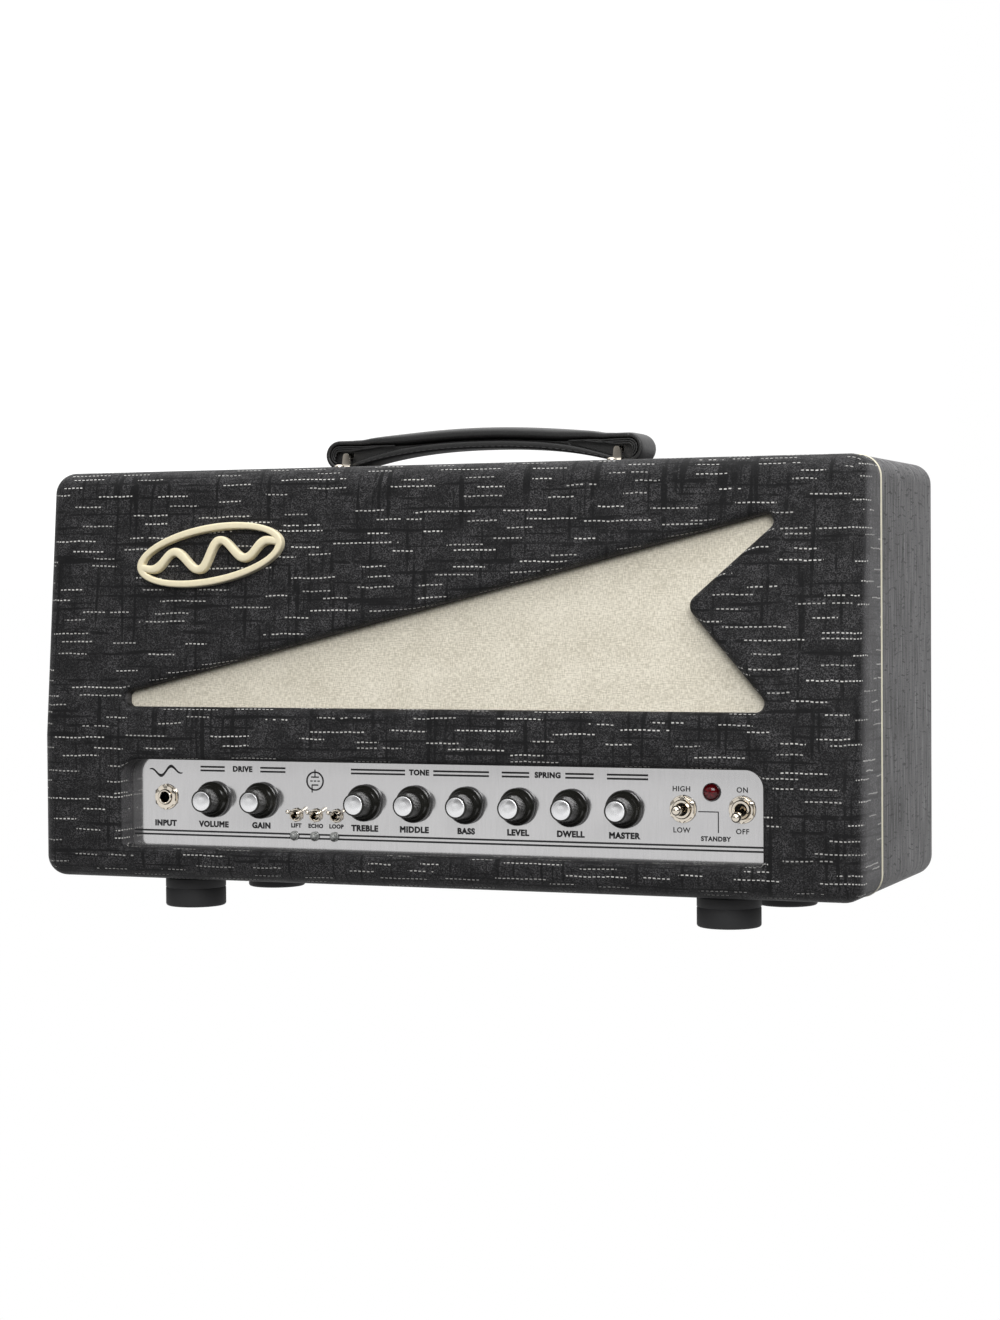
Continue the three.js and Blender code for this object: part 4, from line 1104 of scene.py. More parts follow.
def make_vent():
    """A sheet of perforated steel behind the opening in the rear cover."""
    low, high = node_box("vent_grille")
    pitch = 6.2
    columns = int((high.x - low.x) // pitch)
    rows = int((high.z - low.z) // pitch)
    cell = Vector(((high.x - low.x) / columns, 0, (high.z - low.z) / rows))
    sheet = Shape()
    for i in range(columns):
        for k in range(rows):
            middle = (low.x + cell.x * (i + 0.5), low.z + cell.z * (k + 0.5))
            sheet.add(perforated_cell(middle, cell.x, 2.2, (low.y, high.y)))
    # Squares are as high as they are wide, so the rows are drawn to their own pitch.
    for v in sheet.verts:
        row = math.floor((v.z - low.z) / cell.z)
        centre = low.z + cell.z * (min(max(row, 0), rows - 1) + 0.5)
        v.z = centre + (v.z - centre) * min(1.0, cell.z / cell.x)
    rim_corners = [Vector((x, y, z)) for y in (low.y, high.y)
                   for x, z in ((low.x, low.z), (high.x, low.z), (high.x, high.z), (low.x, high.z))]
    sheet.add(Shape(rim_corners, [([k, (k + 1) % 4, 4 + (k + 1) % 4, 4 + k], BLACK_METAL) for k in range(4)]))
    build("vent_mesh", sheet, "head", ["vent_grille"], crease=30)
    places = [(x, low.y, z) for x in (low.x + 5, 0, high.x - 5) for z in (low.z + 5, high.z - 5)]
    make_screws("vent_screws", places, Matrix(), radius=2.6, height=1.3)


# ---------------------------------------------------------------- grille cloth and badge
CLOTH_LOW, CLOTH_HIGH = -240, 240
CLOTH_SPAN = (6, 146)
CLOTH_FACE = UPPER_BOARD + 0.3


def make_grille_cloth():
    """Linen stretched over its board: a fine sheet that dips a little between its stapled edges."""
    across, up = 240, 70
    thickness = 0.7
    clearance = 0.05
    deepest = 0.12
    width, length = CLOTH_HIGH - CLOTH_LOW, CLOTH_SPAN[1] - CLOTH_SPAN[0]
    rng = random.Random(7)
    pull = [(rng.uniform(0.02, 0.09), rng.uniform(0, 6.28), rng.uniform(0.02, 0.09)) for _ in range(6)]
    verts = []
    for back in (0, 1):
        for k in range(up + 1):
            for i in range(across + 1):
                x = CLOTH_LOW + width * i / across
                s = CLOTH_SPAN[0] + length * k / up
                edge = min(i, across - i) / across * min(k, up - k) / up
                wave = sum(a * math.sin(b + x * c + s * a) for a, b, c in pull)
                dip = deepest * (1 + wave) * min(1.0, edge * 60)
                verts.append(Vector((x, CLOTH_FACE + clearance + dip + back * thickness, s)))
    row = across + 1
    sheet_size = row * (up + 1)
    faces = []
    for k in range(up):
        for i in range(across):
            a = k * row + i
            faces.append(([a, a + 1, a + 1 + row, a + row], LINEN))
            faces.append(([v + sheet_size for v in (a + row, a + 1 + row, a + 1, a)], LINEN))
    rim = [*range(across)] + [across + k * row for k in range(up)]
    rim += [up * row + i for i in range(across, 0, -1)] + [k * row for k in range(up, 0, -1)]
    for a, b in zip(rim, rim[1:] + rim[:1]):
        faces.append(([a, a + sheet_size, b + sheet_size, b], LINEN))
    cloth = build("grille_linen", Shape(verts, faces), "head", ["grille_cloth"], crease=60,
                  place=SLOPE)


BADGE_CENTRE = (-145.5, 111.5)
BADGE_LONG = 50
BADGE_SHORT = 18.5
BADGE_TILT = math.radians(9)
BADGE_DEPTH = (-5, -0.3)


def make_badge():
    """A plain moulded emblem: a tilted oval ring with a wave across it."""
    def ellipse_ring(shrink, y):
        return [Vector(((BADGE_LONG - shrink) * math.cos(t), y, (BADGE_SHORT - shrink) * math.sin(t)))
                for t in turns(96)]
    front, back = BADGE_DEPTH
    edge = 1.1
    ring_width = 4.4
    bar = [(0, back)]
    bar += [(edge - edge * math.cos(t), front + edge - edge * math.sin(t)) for t in quarter_turns(5)]
    bar += [(ring_width - edge + edge * math.sin(t), front + edge - edge * math.cos(t))
            for t in quarter_turns(5)]
    bar.append((ring_width, back))
    ring = skin([ellipse_ring(shrink, y) for shrink, y in bar], CREAM, closed=True)

    steps = 90
    reach = BADGE_LONG - 2.5
    wave_height = 8
    wave_half = 2.5
    pace = math.pi * 3 / BADGE_LONG
    rings = []
    for k in range(steps + 1):
        x = -reach + 2 * reach * k / steps
        swing = wave_height * math.cos(math.pi / 2 * x / BADGE_LONG)
        height = swing * math.sin(pace * x)
        slope = math.atan(swing * math.cos(pace * x) * pace)
        half = wave_half / max(0.55, math.cos(slope))
        side = [(half, back), (half, front + edge), (half - edge * 0.5, front + edge * 0.25),
                (half - edge * 1.2, front)]
        cross = [(-z, y) for z, y in side] + side[::-1]
        rings.append([Vector((x, y, height + z)) for z, y in cross])
    wave = skin(rings, CREAM)
    middle = Matrix.Translation((BADGE_CENTRE[0], 0, BADGE_CENTRE[1]))
    place = SLOPE @ middle @ Matrix.Rotation(-BADGE_TILT, 4, "Y")
    piece = build("badge_emblem", ring, place=place)
    carve(piece, [build("wave", wave, place=place)], "UNION")
    smooth(piece, crease=40)
    settle(piece, "head", ["badge"])


# ---------------------------------------------------------------- feet
FEET = ["foot_front_left", "foot_front_right", "foot_rear_left", "foot_rear_right"]


def make_feet():
    """Round rubber feet, each with a groove near its top and a screw up its middle."""
    edge = 1.6
    places = []
    for foot in FEET:
        low, high = node_box(foot)
        middle = node_middle(foot)
        radius = (high.x - low.x) / 2
        top, bottom = high.z, low.z
        shape = lathe([
            (0, bottom + 9), (6.2, bottom + 9), (6.5, bottom + 8.6), (6.5, bottom + 0.8), (7.3, bottom),
            *[(radius - edge + r, z) for r, z in arc((0, bottom + edge), edge, -90, 0, 6)],
            (radius, bottom + 11), (radius - 0.35, bottom + 11.5), (radius, bottom + 12),
            *[(radius - edge + r, z) for r, z in arc((0, top - edge), edge, 0, 90, 6)], (0, top)],
            64, RUBBER)
        standing = shape.moved(UPRIGHT).shifted(middle.x, middle.y)
        build(foot + "_rubber", standing, "head", [foot], crease=35)
        places.append((middle.x, middle.y, bottom + 8.9))
    make_screws("foot_screws", places, FACE_DOWN, radius=4.2, height=2.2)


# ---------------------------------------------------------------- carrying handle
HANDLE_LOW, HANDLE_HIGH = node_box("carry_handle")
HANDLE_DEPTH = (HANDLE_LOW.y + HANDLE_HIGH.y) / 2
HANDLE_WIDTH = HANDLE_HIGH.y - HANDLE_LOW.y
HANDLE_CENTRE = (HANDLE_LOW.x + HANDLE_HIGH.x) / 2
LOOP_END = (HANDLE_HIGH.x - HANDLE_LOW.x) / 2
TOP_END = 88
LOWER_END = 92
LOOP_BAND = 3.3
STRAP = 5.2
PAD = 8.0
LOOP_RADIUS = 9.35
LOOP_MIDDLE = 10.15
LOOP_X = LOOP_END - LOOP_RADIUS
BAR_SLOT = {"x": 90, "half": 2.2, "low": 4.3, "high": 11.5}


def smooth_step(value, start, end):
    """0 up to start, 1 from end on, smooth between."""
    t = max(0.0, min(1.0, (value - start) / (end - start)))
    return t * t * (3 - 2 * t)


def handle_top(x):
    """Upper side of the handle: an arch over the cabinet."""
    return 19.5 + 6 * math.cos(math.pi / 2 * min(abs(x), TOP_END) / TOP_END)


def handle_under(x):
    """Underside of the lower strap, which lies flat on the cabinet at the loops."""
    arch = 12 - 11.2 * (min(abs(x), LOWER_END) / LOWER_END) ** 2.3
    blend = smooth_step(abs(x), 84, LOOP_X)
    return arch * (1 - blend) + (LOOP_MIDDLE - LOOP_RADIUS) * blend


def strap_thickness(x):
    return LOOP_BAND + (STRAP - LOOP_BAND) * (1 - smooth_step(abs(x), 50, 90))


def pad_share(x):
    return 1 - smooth_step(abs(x), 44, 92)


def pad_thickness(x):
    return LOOP_BAND + (PAD - LOOP_BAND) * pad_share(x)


def pad_top(x):
    return handle_top(x) - 0.5 * math.exp(-((abs(x) - 80) / 5) ** 2)


HANDLE_PLACE = Matrix.Translation((HANDLE_CENTRE, 0, HEIGHT))


def section(half_width, half_thick, power, count=28):
    """A rounded bar's outline: a superellipse, squarer with a higher power."""
    points = []
    for k in range(count):
        t = 2 * math.pi * (k + 0.5) / count
        c, s = math.cos(t), math.sin(t)
        points.append((half_width * math.copysign(abs(c) ** (2 / power), c),
                       half_thick * math.copysign(abs(s) ** (2 / power), s)))
    return points


def swept(path, material, closed=False):
    """Bar along a path in the x-z plane. Path points are (x, z, half width, half thickness, power)."""
    rings = []
    last = len(path) - 1
    for i, (x, z, half_width, half_thick, power) in enumerate(path):
        before = path[i - 1] if i or closed else path[0]
        after = path[(i + 1) % len(path)] if i < last or closed else path[last]
        way = Vector((after[0] - before[0], 0, after[1] - before[1])).normalized()
        out = Vector((-way.z, 0, way.x))
        rings.append([Vector((x, HANDLE_DEPTH + w, z)) + out * h
                      for w, h in section(half_width, half_thick, power)])
    return skin(rings, material, closed)


def loop_points(side, radius, start, end, steps, half_width, half_thick):
    """An arc of a band round one end of the handle."""
    return [(side * (LOOP_X + u), LOOP_MIDDLE + v, half_width, half_thick, 5)
            for u, v in arc((0, 0), radius, start, end, steps)]


def make_grip():
    """One leather band: a padded grip above, a flat strap below, and a rolled loop at each end."""
    half = HANDLE_WIDTH / 2
    spread = [LOOP_X * math.sin(math.pi / 2 * (k / 30 - 1)) for k in range(61)]
    reach = LOOP_RADIUS - LOOP_BAND / 2
    lower = [(x, handle_under(x) + strap_thickness(x) / 2, half - 0.4, strap_thickness(x) / 2, 5)
             for x in spread[:-1]]
    upper = [(x, pad_top(x) - pad_thickness(x) / 2, half - 0.1, pad_thickness(x) / 2, 5 - 2.0 * pad_share(x))
             for x in reversed(spread[1:-1])]
    path = [*lower, *loop_points(1, reach, -90, 90, 24, half - 0.3, LOOP_BAND / 2),
            *upper, *loop_points(-1, reach, 90, -90, 24, half - 0.3, LOOP_BAND / 2)[:-1]]
    grip = build("handle_grip", swept(path, LEATHER, closed=True), "carry_handle_body",
                 ["carry_handle"], crease=60, place=HANDLE_PLACE)


def make_handle_core():
    """What fills the grip between its two bands, with a slot at each end for the bracket's bar."""
    slack = 0.12
    inner = LOOP_RADIUS - LOOP_BAND - slack
    xs = [LOOP_X * (k / 40 - 1) for k in range(81)]
    low = [(x, handle_under(x) + strap_thickness(x) + slack) for x in xs]
    high = [(x, max(pad_top(x) - pad_thickness(x) - slack, z + 0.1)) for x, z in low]
    ends = [[(side * (LOOP_X + u), LOOP_MIDDLE + v) for u, v in arc((0, 0), inner, -90, 90, 16)][1:-1]
            for side in (1, -1)]
    outline = low + ends[0] + high[::-1] + ends[1][::-1]
    half = HANDLE_WIDTH / 2 - 4.5
    rings = [at_depth(outline, HANDLE_DEPTH + y) for y in (-half, half)]
    core = build("handle_core", skin(rings, LEATHER), place=HANDLE_PLACE)
    slots = [block(about(side * BAR_SLOT["x"], BAR_SLOT["half"]), about(HANDLE_DEPTH, half + 2),
                   (BAR_SLOT["low"], BAR_SLOT["high"]), LEATHER) for side in (-1, 1)]
    carve(core, [build("slot", slot, place=HANDLE_PLACE) for slot in slots])
    smooth(core, crease=40)
    settle(core, "carry_handle_body")


def make_handle_layers():
    """Thin leather layers that run out under the grip and roll round inside each loop."""
    half = HANDLE_WIDTH / 2
    # How far each layer lies under the loop's band, and where its tail starts along the handle.
    placing = ((0.75, 58), (2.05, 66), (3.35, 76))
    half_width, half_thick = 0.9, 0.5
    layers = Shape()
    for side in (-1, 1):
        for front in (-1, 1):
            for step, (offset, tail) in enumerate(placing):
                radius = LOOP_RADIUS - LOOP_BAND - offset
                path = []
                for k in range(12):
                    x = tail + (LOOP_X - tail) * k / 12
                    z = pad_top(x) - pad_thickness(x) - offset * smooth_step(x, tail - 8, tail + 14)
                    path.append((side * x, z, half_width, half_thick, 4))
                path += loop_points(side, radius, 90, -70 + 25 * step, 20, half_width, half_thick)
                layers.add(swept(path, LEATHER).shifted(y=front * (half - 1.5)))
    build("handle_layers", layers, "carry_handle_body", crease=60, place=HANDLE_PLACE)


def make_stitches():
    """A line of stitches near the lower edge of the strap, front and back."""
    half = HANDLE_WIDTH / 2
    stitches = Shape()
    pitch = 4.2
    span = 80
    for side in (-1, 1):
        for k in range(int(2 * span / pitch) + 1):
            x = -span + pitch * k
            slope = math.atan2(handle_under(x + 0.5) - handle_under(x - 0.5), 1)
            place = (x, HANDLE_DEPTH + side * (half - 0.42), handle_under(x) + 1.3)
            stitch = block(about(0, 1.3), about(0, 0.16), about(0, 0.22), THREAD, 0.12)
            stitches.add(stitch.moved(Matrix.Translation(place) @ Matrix.Rotation(-slope, 4, "Y")))
    build("handle_stitches", stitches, "carry_handle_body", crease=60, place=HANDLE_PLACE)


BAR_HEIGHT = 9.4
BAR_RADIUS = 1.6


def make_brackets():
    """A nickel bridge at each end of the handle: two tapered legs on long flanges, and a bar between."""
    places = []
    inside = HANDLE_WIDTH / 2 + 0.6
    thick = 2.2
    outside = inside + thick
    flange_reach = 15
    flange_thick = 1.6
    fillet = 2.4
    overlap = 0.3

    def across(points, x, side, y):
        return [Vector((x + u, HANDLE_DEPTH + side * y, z)) for u, z in points]

    for name in ("handle_bracket_left", "handle_bracket_right"):
        low, high = node_box(name)
        x, base = (low.x + high.x) / 2, low.z
        bar_height = HEIGHT + BAR_HEIGHT
        leg_side = [(3.1, base), (2.8, base + 3), (2.1, bar_height - 0.4), (1.85, bar_height + 0.7),
                    (1.2, bar_height + 1.5), (0.5, bar_height + 1.7)]
        leg_profile = [(-u, z) for u, z in leg_side] + leg_side[::-1]
        top = base + flange_thick
        bend = [(outside - overlap, top - overlap), (outside - overlap, top + fillet)]
        bend += [(outside + fillet - u, top + fillet - v) for u, v in arc((0, 0), fillet, 0, 90, 6)]
        bend.append((outside + fillet, top - overlap))
        parts = []
        for side in (-1, 1):
            leg = skin([across(leg_profile, x, side, inside), across(leg_profile, x, side, outside)], NICKEL)
            ends = sorted(HANDLE_DEPTH + side * y for y in (inside, inside + flange_reach))
            flange = block(about(x, 3.9), ends, (base, top), NICKEL)
            web = skin([[Vector((x + u, HANDLE_DEPTH + side * y, z)) for y, z in bend] for u in (-2.8, 2.8)],
                       NICKEL)
            parts += [build("leg", leg), build("flange", flange), build("bend", web)]
            places.append((x, HANDLE_DEPTH + side * (inside + 11.5), top))
        bar = rod(BAR_RADIUS, about(0, inside + 1), 24, NICKEL)
        piece = build(name + "_plate", bar.shifted(x, HANDLE_DEPTH, bar_height))
        carve(piece, parts, "UNION")
        round_edges(piece, width=0.35, segments=3)
        settle(piece, "head", [name])
    make_screws("bracket_screws", places, FACE_UP, radius=3.0, height=2.1, finish=NICKEL)


# ---------------------------------------------------------------- control panel and its print
PRINT_LIFT = 0.05
PRINT_THICKNESS = 0.06


# Capital height and added weight of each kind of word.
LABEL = {"height": 3.9, "thicken": 0.058}
SMALL_LABEL = {"height": 2.7, "thicken": 0.052}
HEADING = {"height": 3.6, "thicken": 0.055}
POSITION = {"height": 3.1, "thicken": 0.02}
NOTE = {"height": 2.9, "thicken": 0.045}
REAR_LABEL = {"height": 2.6, "thicken": 0.012}
REAR_HEADING = {"height": 3.0, "thicken": 0.012}


def lettering(text, x, z, height, thicken, material=INK, face=PANEL_FACE, turn=1):
    """A word as thin raised print, centred at x, z. turn is -1 on a face that looks backward."""
    curve = bpy.data.curves.new("lettering", "FONT")
    curve.body = text
    curve.align_x = "CENTER"
    curve.size = 1.0
    curve.space_character = 1.12
    curve.bevel_depth = thicken
    curve.bevel_resolution = 0
    curve.extrude = 0.01
    curve.resolution_u = 4
    piece = bpy.data.objects.new("lettering", curve)
    bpy.context.scene.collection.objects.link(piece)
    graph = bpy.context.evaluated_depsgraph_get()
    mesh = bpy.data.meshes.new_from_object(piece.evaluated_get(graph))
    lows = min(v.co.y for v in mesh.vertices)
    highs = max(v.co.y for v in mesh.vertices)
    scale = height / (highs - lows)
    verts = []
    for v in mesh.vertices:
        depth = face - turn * (PRINT_LIFT + (PRINT_THICKNESS if v.co.z > 0 else 0))
        verts.append(Vector((x + turn * v.co.x * scale, depth, z + (v.co.y - (lows + highs) / 2) * scale)))
    shape = Shape(verts, [(list(p.vertices), material) for p in mesh.polygons])
    bpy.data.objects.remove(piece)
    bpy.data.meshes.remove(mesh)
    return shape


def printed_bar(x, z, material=INK, face=PANEL_FACE, turn=1):
    """A printed line between two corners."""
    depth = sorted((face - turn * PRINT_LIFT, face - turn * (PRINT_LIFT + PRINT_THICKNESS)))
    return block(x, depth, z, material)


def printed_ring(x, z, inner, outer):
    back = PANEL_FACE - PRINT_LIFT
    front = back - PRINT_THICKNESS
    profile = [(inner, back), (inner, front), (outer, front), (outer, back)]
    return turned_ring(profile, 48, INK).shifted(x, 0, z)


def hole_cutters(holes, depth, material):
    """Rods that cut round holes through a panel; a hole is its middle and its radius."""
    return [build("hole", rod(radius, depth, 32, material).shifted(middle.x, 0, middle.z))
            for middle, radius in holes]


# Radii of the holes that the panels have for their fittings.
HOLE = {"knob": 4.9, "jack": 5.2, "jewel": 4.9, "toggle": 6.4, "mini": 3.4, "lamp": 2.8, "fuse": 6.6}


def panel_holes():
    """Round holes for everything that stands on the control panel."""
    holes = [(joint_place(knob + "_turn"), HOLE["knob"]) for knob in KNOBS]
    holes += [(node_middle("input_jack"), HOLE["jack"]), (node_middle("pilot_jewel"), HOLE["jewel"])]
    holes += [(node_middle(name + "_switch"), HOLE["toggle"]) for name in ("class", "power")]
    holes += [(node_middle(mini + "_switch"), HOLE["mini"]) for mini in MINIS]
    holes += [(node_middle(mini + "_indicator"), HOLE["lamp"]) for mini in MINIS]
    return holes


def make_control_panel():
    """The bright plate, pierced for the controls."""
    piece = build("control_panel_plate", slab(PANEL_LOW, PANEL_HIGH, PANEL_METAL, 0.25))
    carve(piece, hole_cutters(panel_holes(), (PANEL_LOW.y - 1, PANEL_HIGH.y + 1), PANEL_METAL))
    smooth(piece, crease=3)
    settle(piece, "head", ["control_panel"])


# Heights of the rows of words and lines.
LABEL_LEVEL = 34.0
SMALL_LEVEL = 34.6
DOUBLE_LINE = (29.3, 26.9)
LINE_WEIGHT = 1.1
HEADING_LEVEL = 68.2
HEADING_LINES = (69.2, 66.9)
# Where each pair of lines beside a heading starts and ends.
HEADING_SPANS = [(-157.5, -140.8), (-116.4, -99.4), (-55.5, -20.0), (-1.6, 34.0), (42.2, 59.5),
                 (82.1, 99.6), (107.8, 132.9)]
TRIODE = (-79.5, 61.8)


def printed_triode(x, z):
    """A triode's circuit symbol: a ring round an anode, a dashed grid and a cathode."""
    line = 0.42
    reach = 7.0
    plate = 2.4
    marks = [printed_ring(x, z, 4.9, 5.9)]
    marks.append(printed_bar(about(x, 2.6), about(z + plate, line)))
    marks.append(printed_bar(about(x, 0.35), (z + plate, z + reach)))
    for offset in (-2.4, 0, 2.4):
        marks.append(printed_bar(about(x + offset, 0.8), about(z, 0.36)))
    marks.append(printed_bar(about(x, 2.2), about(z - plate, line)))
    marks.append(printed_bar(about(x - 2.0, 0.35), (z - reach, z - plate)))
    return together(marks)


def make_panel_print():
    """Words, lines and two plain emblems in black print on the control panel."""
    ink = Shape()
    words = dict(zip(KNOBS, ("VOLUME", "GAIN", "TREBLE", "MIDDLE", "BASS", "LEVEL", "DWELL", "MASTER")))
    for knob, word in words.items():
        ink.add(lettering(word, joint_place(knob + "_turn").x - 0.3, LABEL_LEVEL, **LABEL))
    ink.add(lettering("INPUT", node_middle("input_jack").x - 1, LABEL_LEVEL, **LABEL))
    for mini, word in zip(MINIS, ("LIFT", "ECHO", "LOOP")):
        ink.add(lettering(word, joint_place(mini + "_lever_tilt").x - 0.4, SMALL_LEVEL, **SMALL_LABEL))
    for word, x in (("DRIVE", -128.6), ("TONE", -10.8), ("SPRING", 71.1)):
        ink.add(lettering(word, x, HEADING_LEVEL, **HEADING))
    for span in HEADING_SPANS:
        for height in HEADING_LINES:
            ink.add(printed_bar(span, about(height, LINE_WEIGHT / 2)))
    for height in DOUBLE_LINE:
        ink.add(printed_bar((-204, 204), about(height, LINE_WEIGHT / 2)))
    power_x = joint_place("power_lever_tilt").x
    class_x = joint_place("class_lever_tilt").x
    for word, x, z in (("HIGH", class_x - 1, 61.9), ("LOW", class_x - 1, 38.2),
                       ("ON", power_x, 61.9), ("OFF", power_x, 38.2)):
        ink.add(lettering(word, x, z, **POSITION))
    ink.add(lettering("STANDBY", 173.4, 33.6, **NOTE))
    ink.add(printed_bar((163, 175.2), about(49, 0.3)))
    ink.add(printed_bar(about(175, 0.3), (37, 49)))
    ink.add(printed_triode(*TRIODE))
    ink.add(printed_wave(-181.5, 66.2, 11.5, 3.2, 1.9))
    build("panel_print", ink, "head", crease=60)


def printed_wave(x, z, half_width, height, weight):
    """A wave line with tapered ends."""
    rings = []
    steps = 60
    for k in range(steps + 1):
        t = -1 + 2 * k / steps
        middle = height * math.sin(math.pi * 1.5 * t) * math.cos(math.pi / 2 * t * 0.8)
        half = weight / 2 * (1 - t * t * 0.75) + 0.05
        front = PANEL_FACE - PRINT_LIFT - PRINT_THICKNESS
        back = PANEL_FACE - PRINT_LIFT
        rings.append([Vector((x + half_width * t, y, z + middle + side))
                      for y, side in ((back, -half), (front, -half), (front, half), (back, half))])
    return skin(rings, INK)


# ---------------------------------------------------------------- knobs
def on_panel(shape, place):
    """Sets a shape made at the origin on the control panel's face."""
    return shape.shifted(place.x, PANEL_FACE, place.z)


def on_rear(shape, place):
    """Sets a shape made at the origin on the rear panel's face, looking backward."""
    return shape.moved(Matrix.Translation((place.x, REAR_FACE, place.z)) @ FACE_BACK)


def make_knobs():
    """A skirted knob: a finely ribbed barrel, a spun cap, and a white pointer on its skirt."""
    ribs = 48
    sides = ribs * 6

    def groove(angle):
        return 1 - 0.026 * max(0.0, math.cos(angle * ribs)) ** 2

    for knob in KNOBS:
        low, high = node_box(knob)
        middle = joint_place(knob + "_turn")
        front = low.y - PANEL_FACE
        back = -0.8
        radius = (high.x - low.x) / 2
        body = lathe([
            (5.9, front + 0.5), (6.15, front + 0.1), (6.45, front + 0.1), (6.7, front + 0.4),
            (6.85, front + 1.2, 1), (7.1, front + 5.0, 1), (7.45, back - 7.6, 1), (8.1, back - 6.2, 1),
            (8.6, back - 5.6, 1), (8.55, back - 5.1), (9.1, back - 5.2), (10.5, back - 3.8),
            (11.15, back - 2.0), (radius, back - 1.1), (radius, back - 0.5), (radius - 0.25, back),
            (8.0, back), (8.0, -2.4), (3.1, -2.4), (3.1, 9), (2.6, 9.6), (0, 9.6)], sides, KNOB_BLACK, groove)
        cap = lathe([(0, front + 0.02), (2.0, front), (5.4, front + 0.04), (5.7, front + 0.2),
                     (5.8, front + 0.5), (5.8, front + 1.2), (0, front + 1.2)], 72, SPUN)
        pointer = block(about(0, 0.5), (back - 2.6, back - 1.4), (radius - 1.3, radius - 0.05), WHITE_INK,
                        0.1)
        whole = on_panel(together([body, cap, pointer]), middle)
        piece = build(knob + "_body", whole, knob + "_body", [knob], crease=35)
        lay_face_grain(piece, middle)


# ---------------------------------------------------------------- switches, jacks and lamps
WALL_BACK = 3.7
# Washers and bezels end this far in front of a panel, and nuts clear their bushing by this much.
SEAT = -0.3
CLEARANCE = 0.05
TOGGLE = {"case": (9, 14), "bushing": 5.7, "bore": 3.6, "mouth": -3.9, "thread": 0.8,
          "nut": 14.0, "nut_depth": (-2.6, -0.85), "washer": 8.0, "washer_front": -0.8,
          "pivot": 1.6, "length": 17.4, "tip": 2.95, "ball": 2.2, "sides": 40}
MINI = {"case": (5.5, 6.5), "bushing": 3.0, "bore": 2.2, "mouth": -4.2, "thread": 0.6,
        "nut": 7.4, "nut_depth": (-2.5, -0.6), "washer": 4.1, "washer_front": -0.55,
        "pivot": -0.4, "length": 13.5, "tip": 1.35, "ball": 1.5, "sides": 32}


def hex_nut(across, depth, bore, material):
    """A hexagon nut with a chamfered front face, bored through."""
    front, back = depth
    chamfer = 0.5
    corner = across / 2 / math.cos(math.pi / 6)
    sides = 48

    def ring(y, limit):
        points = []
        for t in turns(sides):
            flat = (across / 2) / math.cos((t + math.pi / 6) % (math.pi / 3) - math.pi / 6)
            reach = min(flat, limit)
            points.append(Vector((reach * math.cos(t), y, reach * math.sin(t))))
        return points
    rings = [circle(bore, back, sides), circle(bore, front, sides), ring(front, across / 2 - 0.1),
             ring(front + chamfer, corner), ring(back, corner)]
    return skin(rings, material, closed=True)


def threaded_tube(outer, inner, depth, material, pitch):
    """A bushing with turned threads outside and a smooth bore; its front edge is chamfered."""
    front, back = depth
    thread_depth = 0.28
    profile = [(inner, back), (inner, front + 0.3), (inner + 0.3, front), (outer - 0.6, front),
               (outer - 0.1, front + 0.5)]
    y = front + 0.7
    while y < back - pitch:
        profile += [(outer, y), (outer - thread_depth, y + pitch / 2)]
        y += pitch
    profile.append((outer, back))
    return turned_ring(profile, 48, material)


def flat_washer(outer, inner, depth, material, rim=0.15):
    front, back = depth
    profile = [(inner, back), (inner, front), (outer - rim, front), (outer, front + rim), (outer, back)]
    return turned_ring(profile, 64, material)


def bat(size):
    """A bat lever pointing along -Y, its pivot ball at the origin."""
    length, tip, ball = size["length"], size["tip"], size["ball"]
    profile = dome(tip, tip, tip - length, 8)
    neck = ball * 0.62
    taper = length - tip - ball * 1.8
    steps = 12
    for k in range(1, steps + 1):
        t = k / steps
        profile.append((tip + (neck - tip) * smooth_step(t, 0, 1), tip - length + taper * t))
    for k in range(steps):
        angle = math.radians(38 + 142 * k / steps)
        profile.append((ball * math.sin(angle), -ball * math.cos(angle)))
    profile.append((0, ball))
    return lathe(profile, size["sides"], NICKEL)


def make_switch(name, size, tilt):
    """A toggle switch through the control panel, and its lever at the tilt where it rests."""
    middle = joint_place(name + "_lever_tilt")
    case_back = node_box(name + "_switch")[1].y - PANEL_FACE
    half_width, half_height = size["case"]
    bushing = size["bushing"]
    body = together([
        block(about(0, half_width), (WALL_BACK, case_back), about(0, half_height), BLACK_PLASTIC, 0.6),
        threaded_tube(bushing, size["bore"], (size["mouth"], WALL_BACK), NICKEL, size["thread"]),
        hex_nut(size["nut"], size["nut_depth"], bushing + CLEARANCE, NICKEL),
        flat_washer(size["washer"], bushing + CLEARANCE, (size["washer_front"], SEAT), NICKEL)])
    build(name + "_switch_body", on_panel(body, middle), "head", [name + "_switch"], crease=35)
    lever = bat(size).moved(Matrix.Rotation(tilt, 4, "X")).shifted(y=size["pivot"])
    build(name + "_lever_bat", on_panel(lever, middle), name + "_lever_body", [name + "_lever"],
          crease=40)


def make_switches():
    make_switch("class", TOGGLE, 0)
    make_switch("power", TOGGLE, TOGGLE_TILT)
    for mini in MINIS:
        make_switch(mini, MINI, -MINI_TILT)


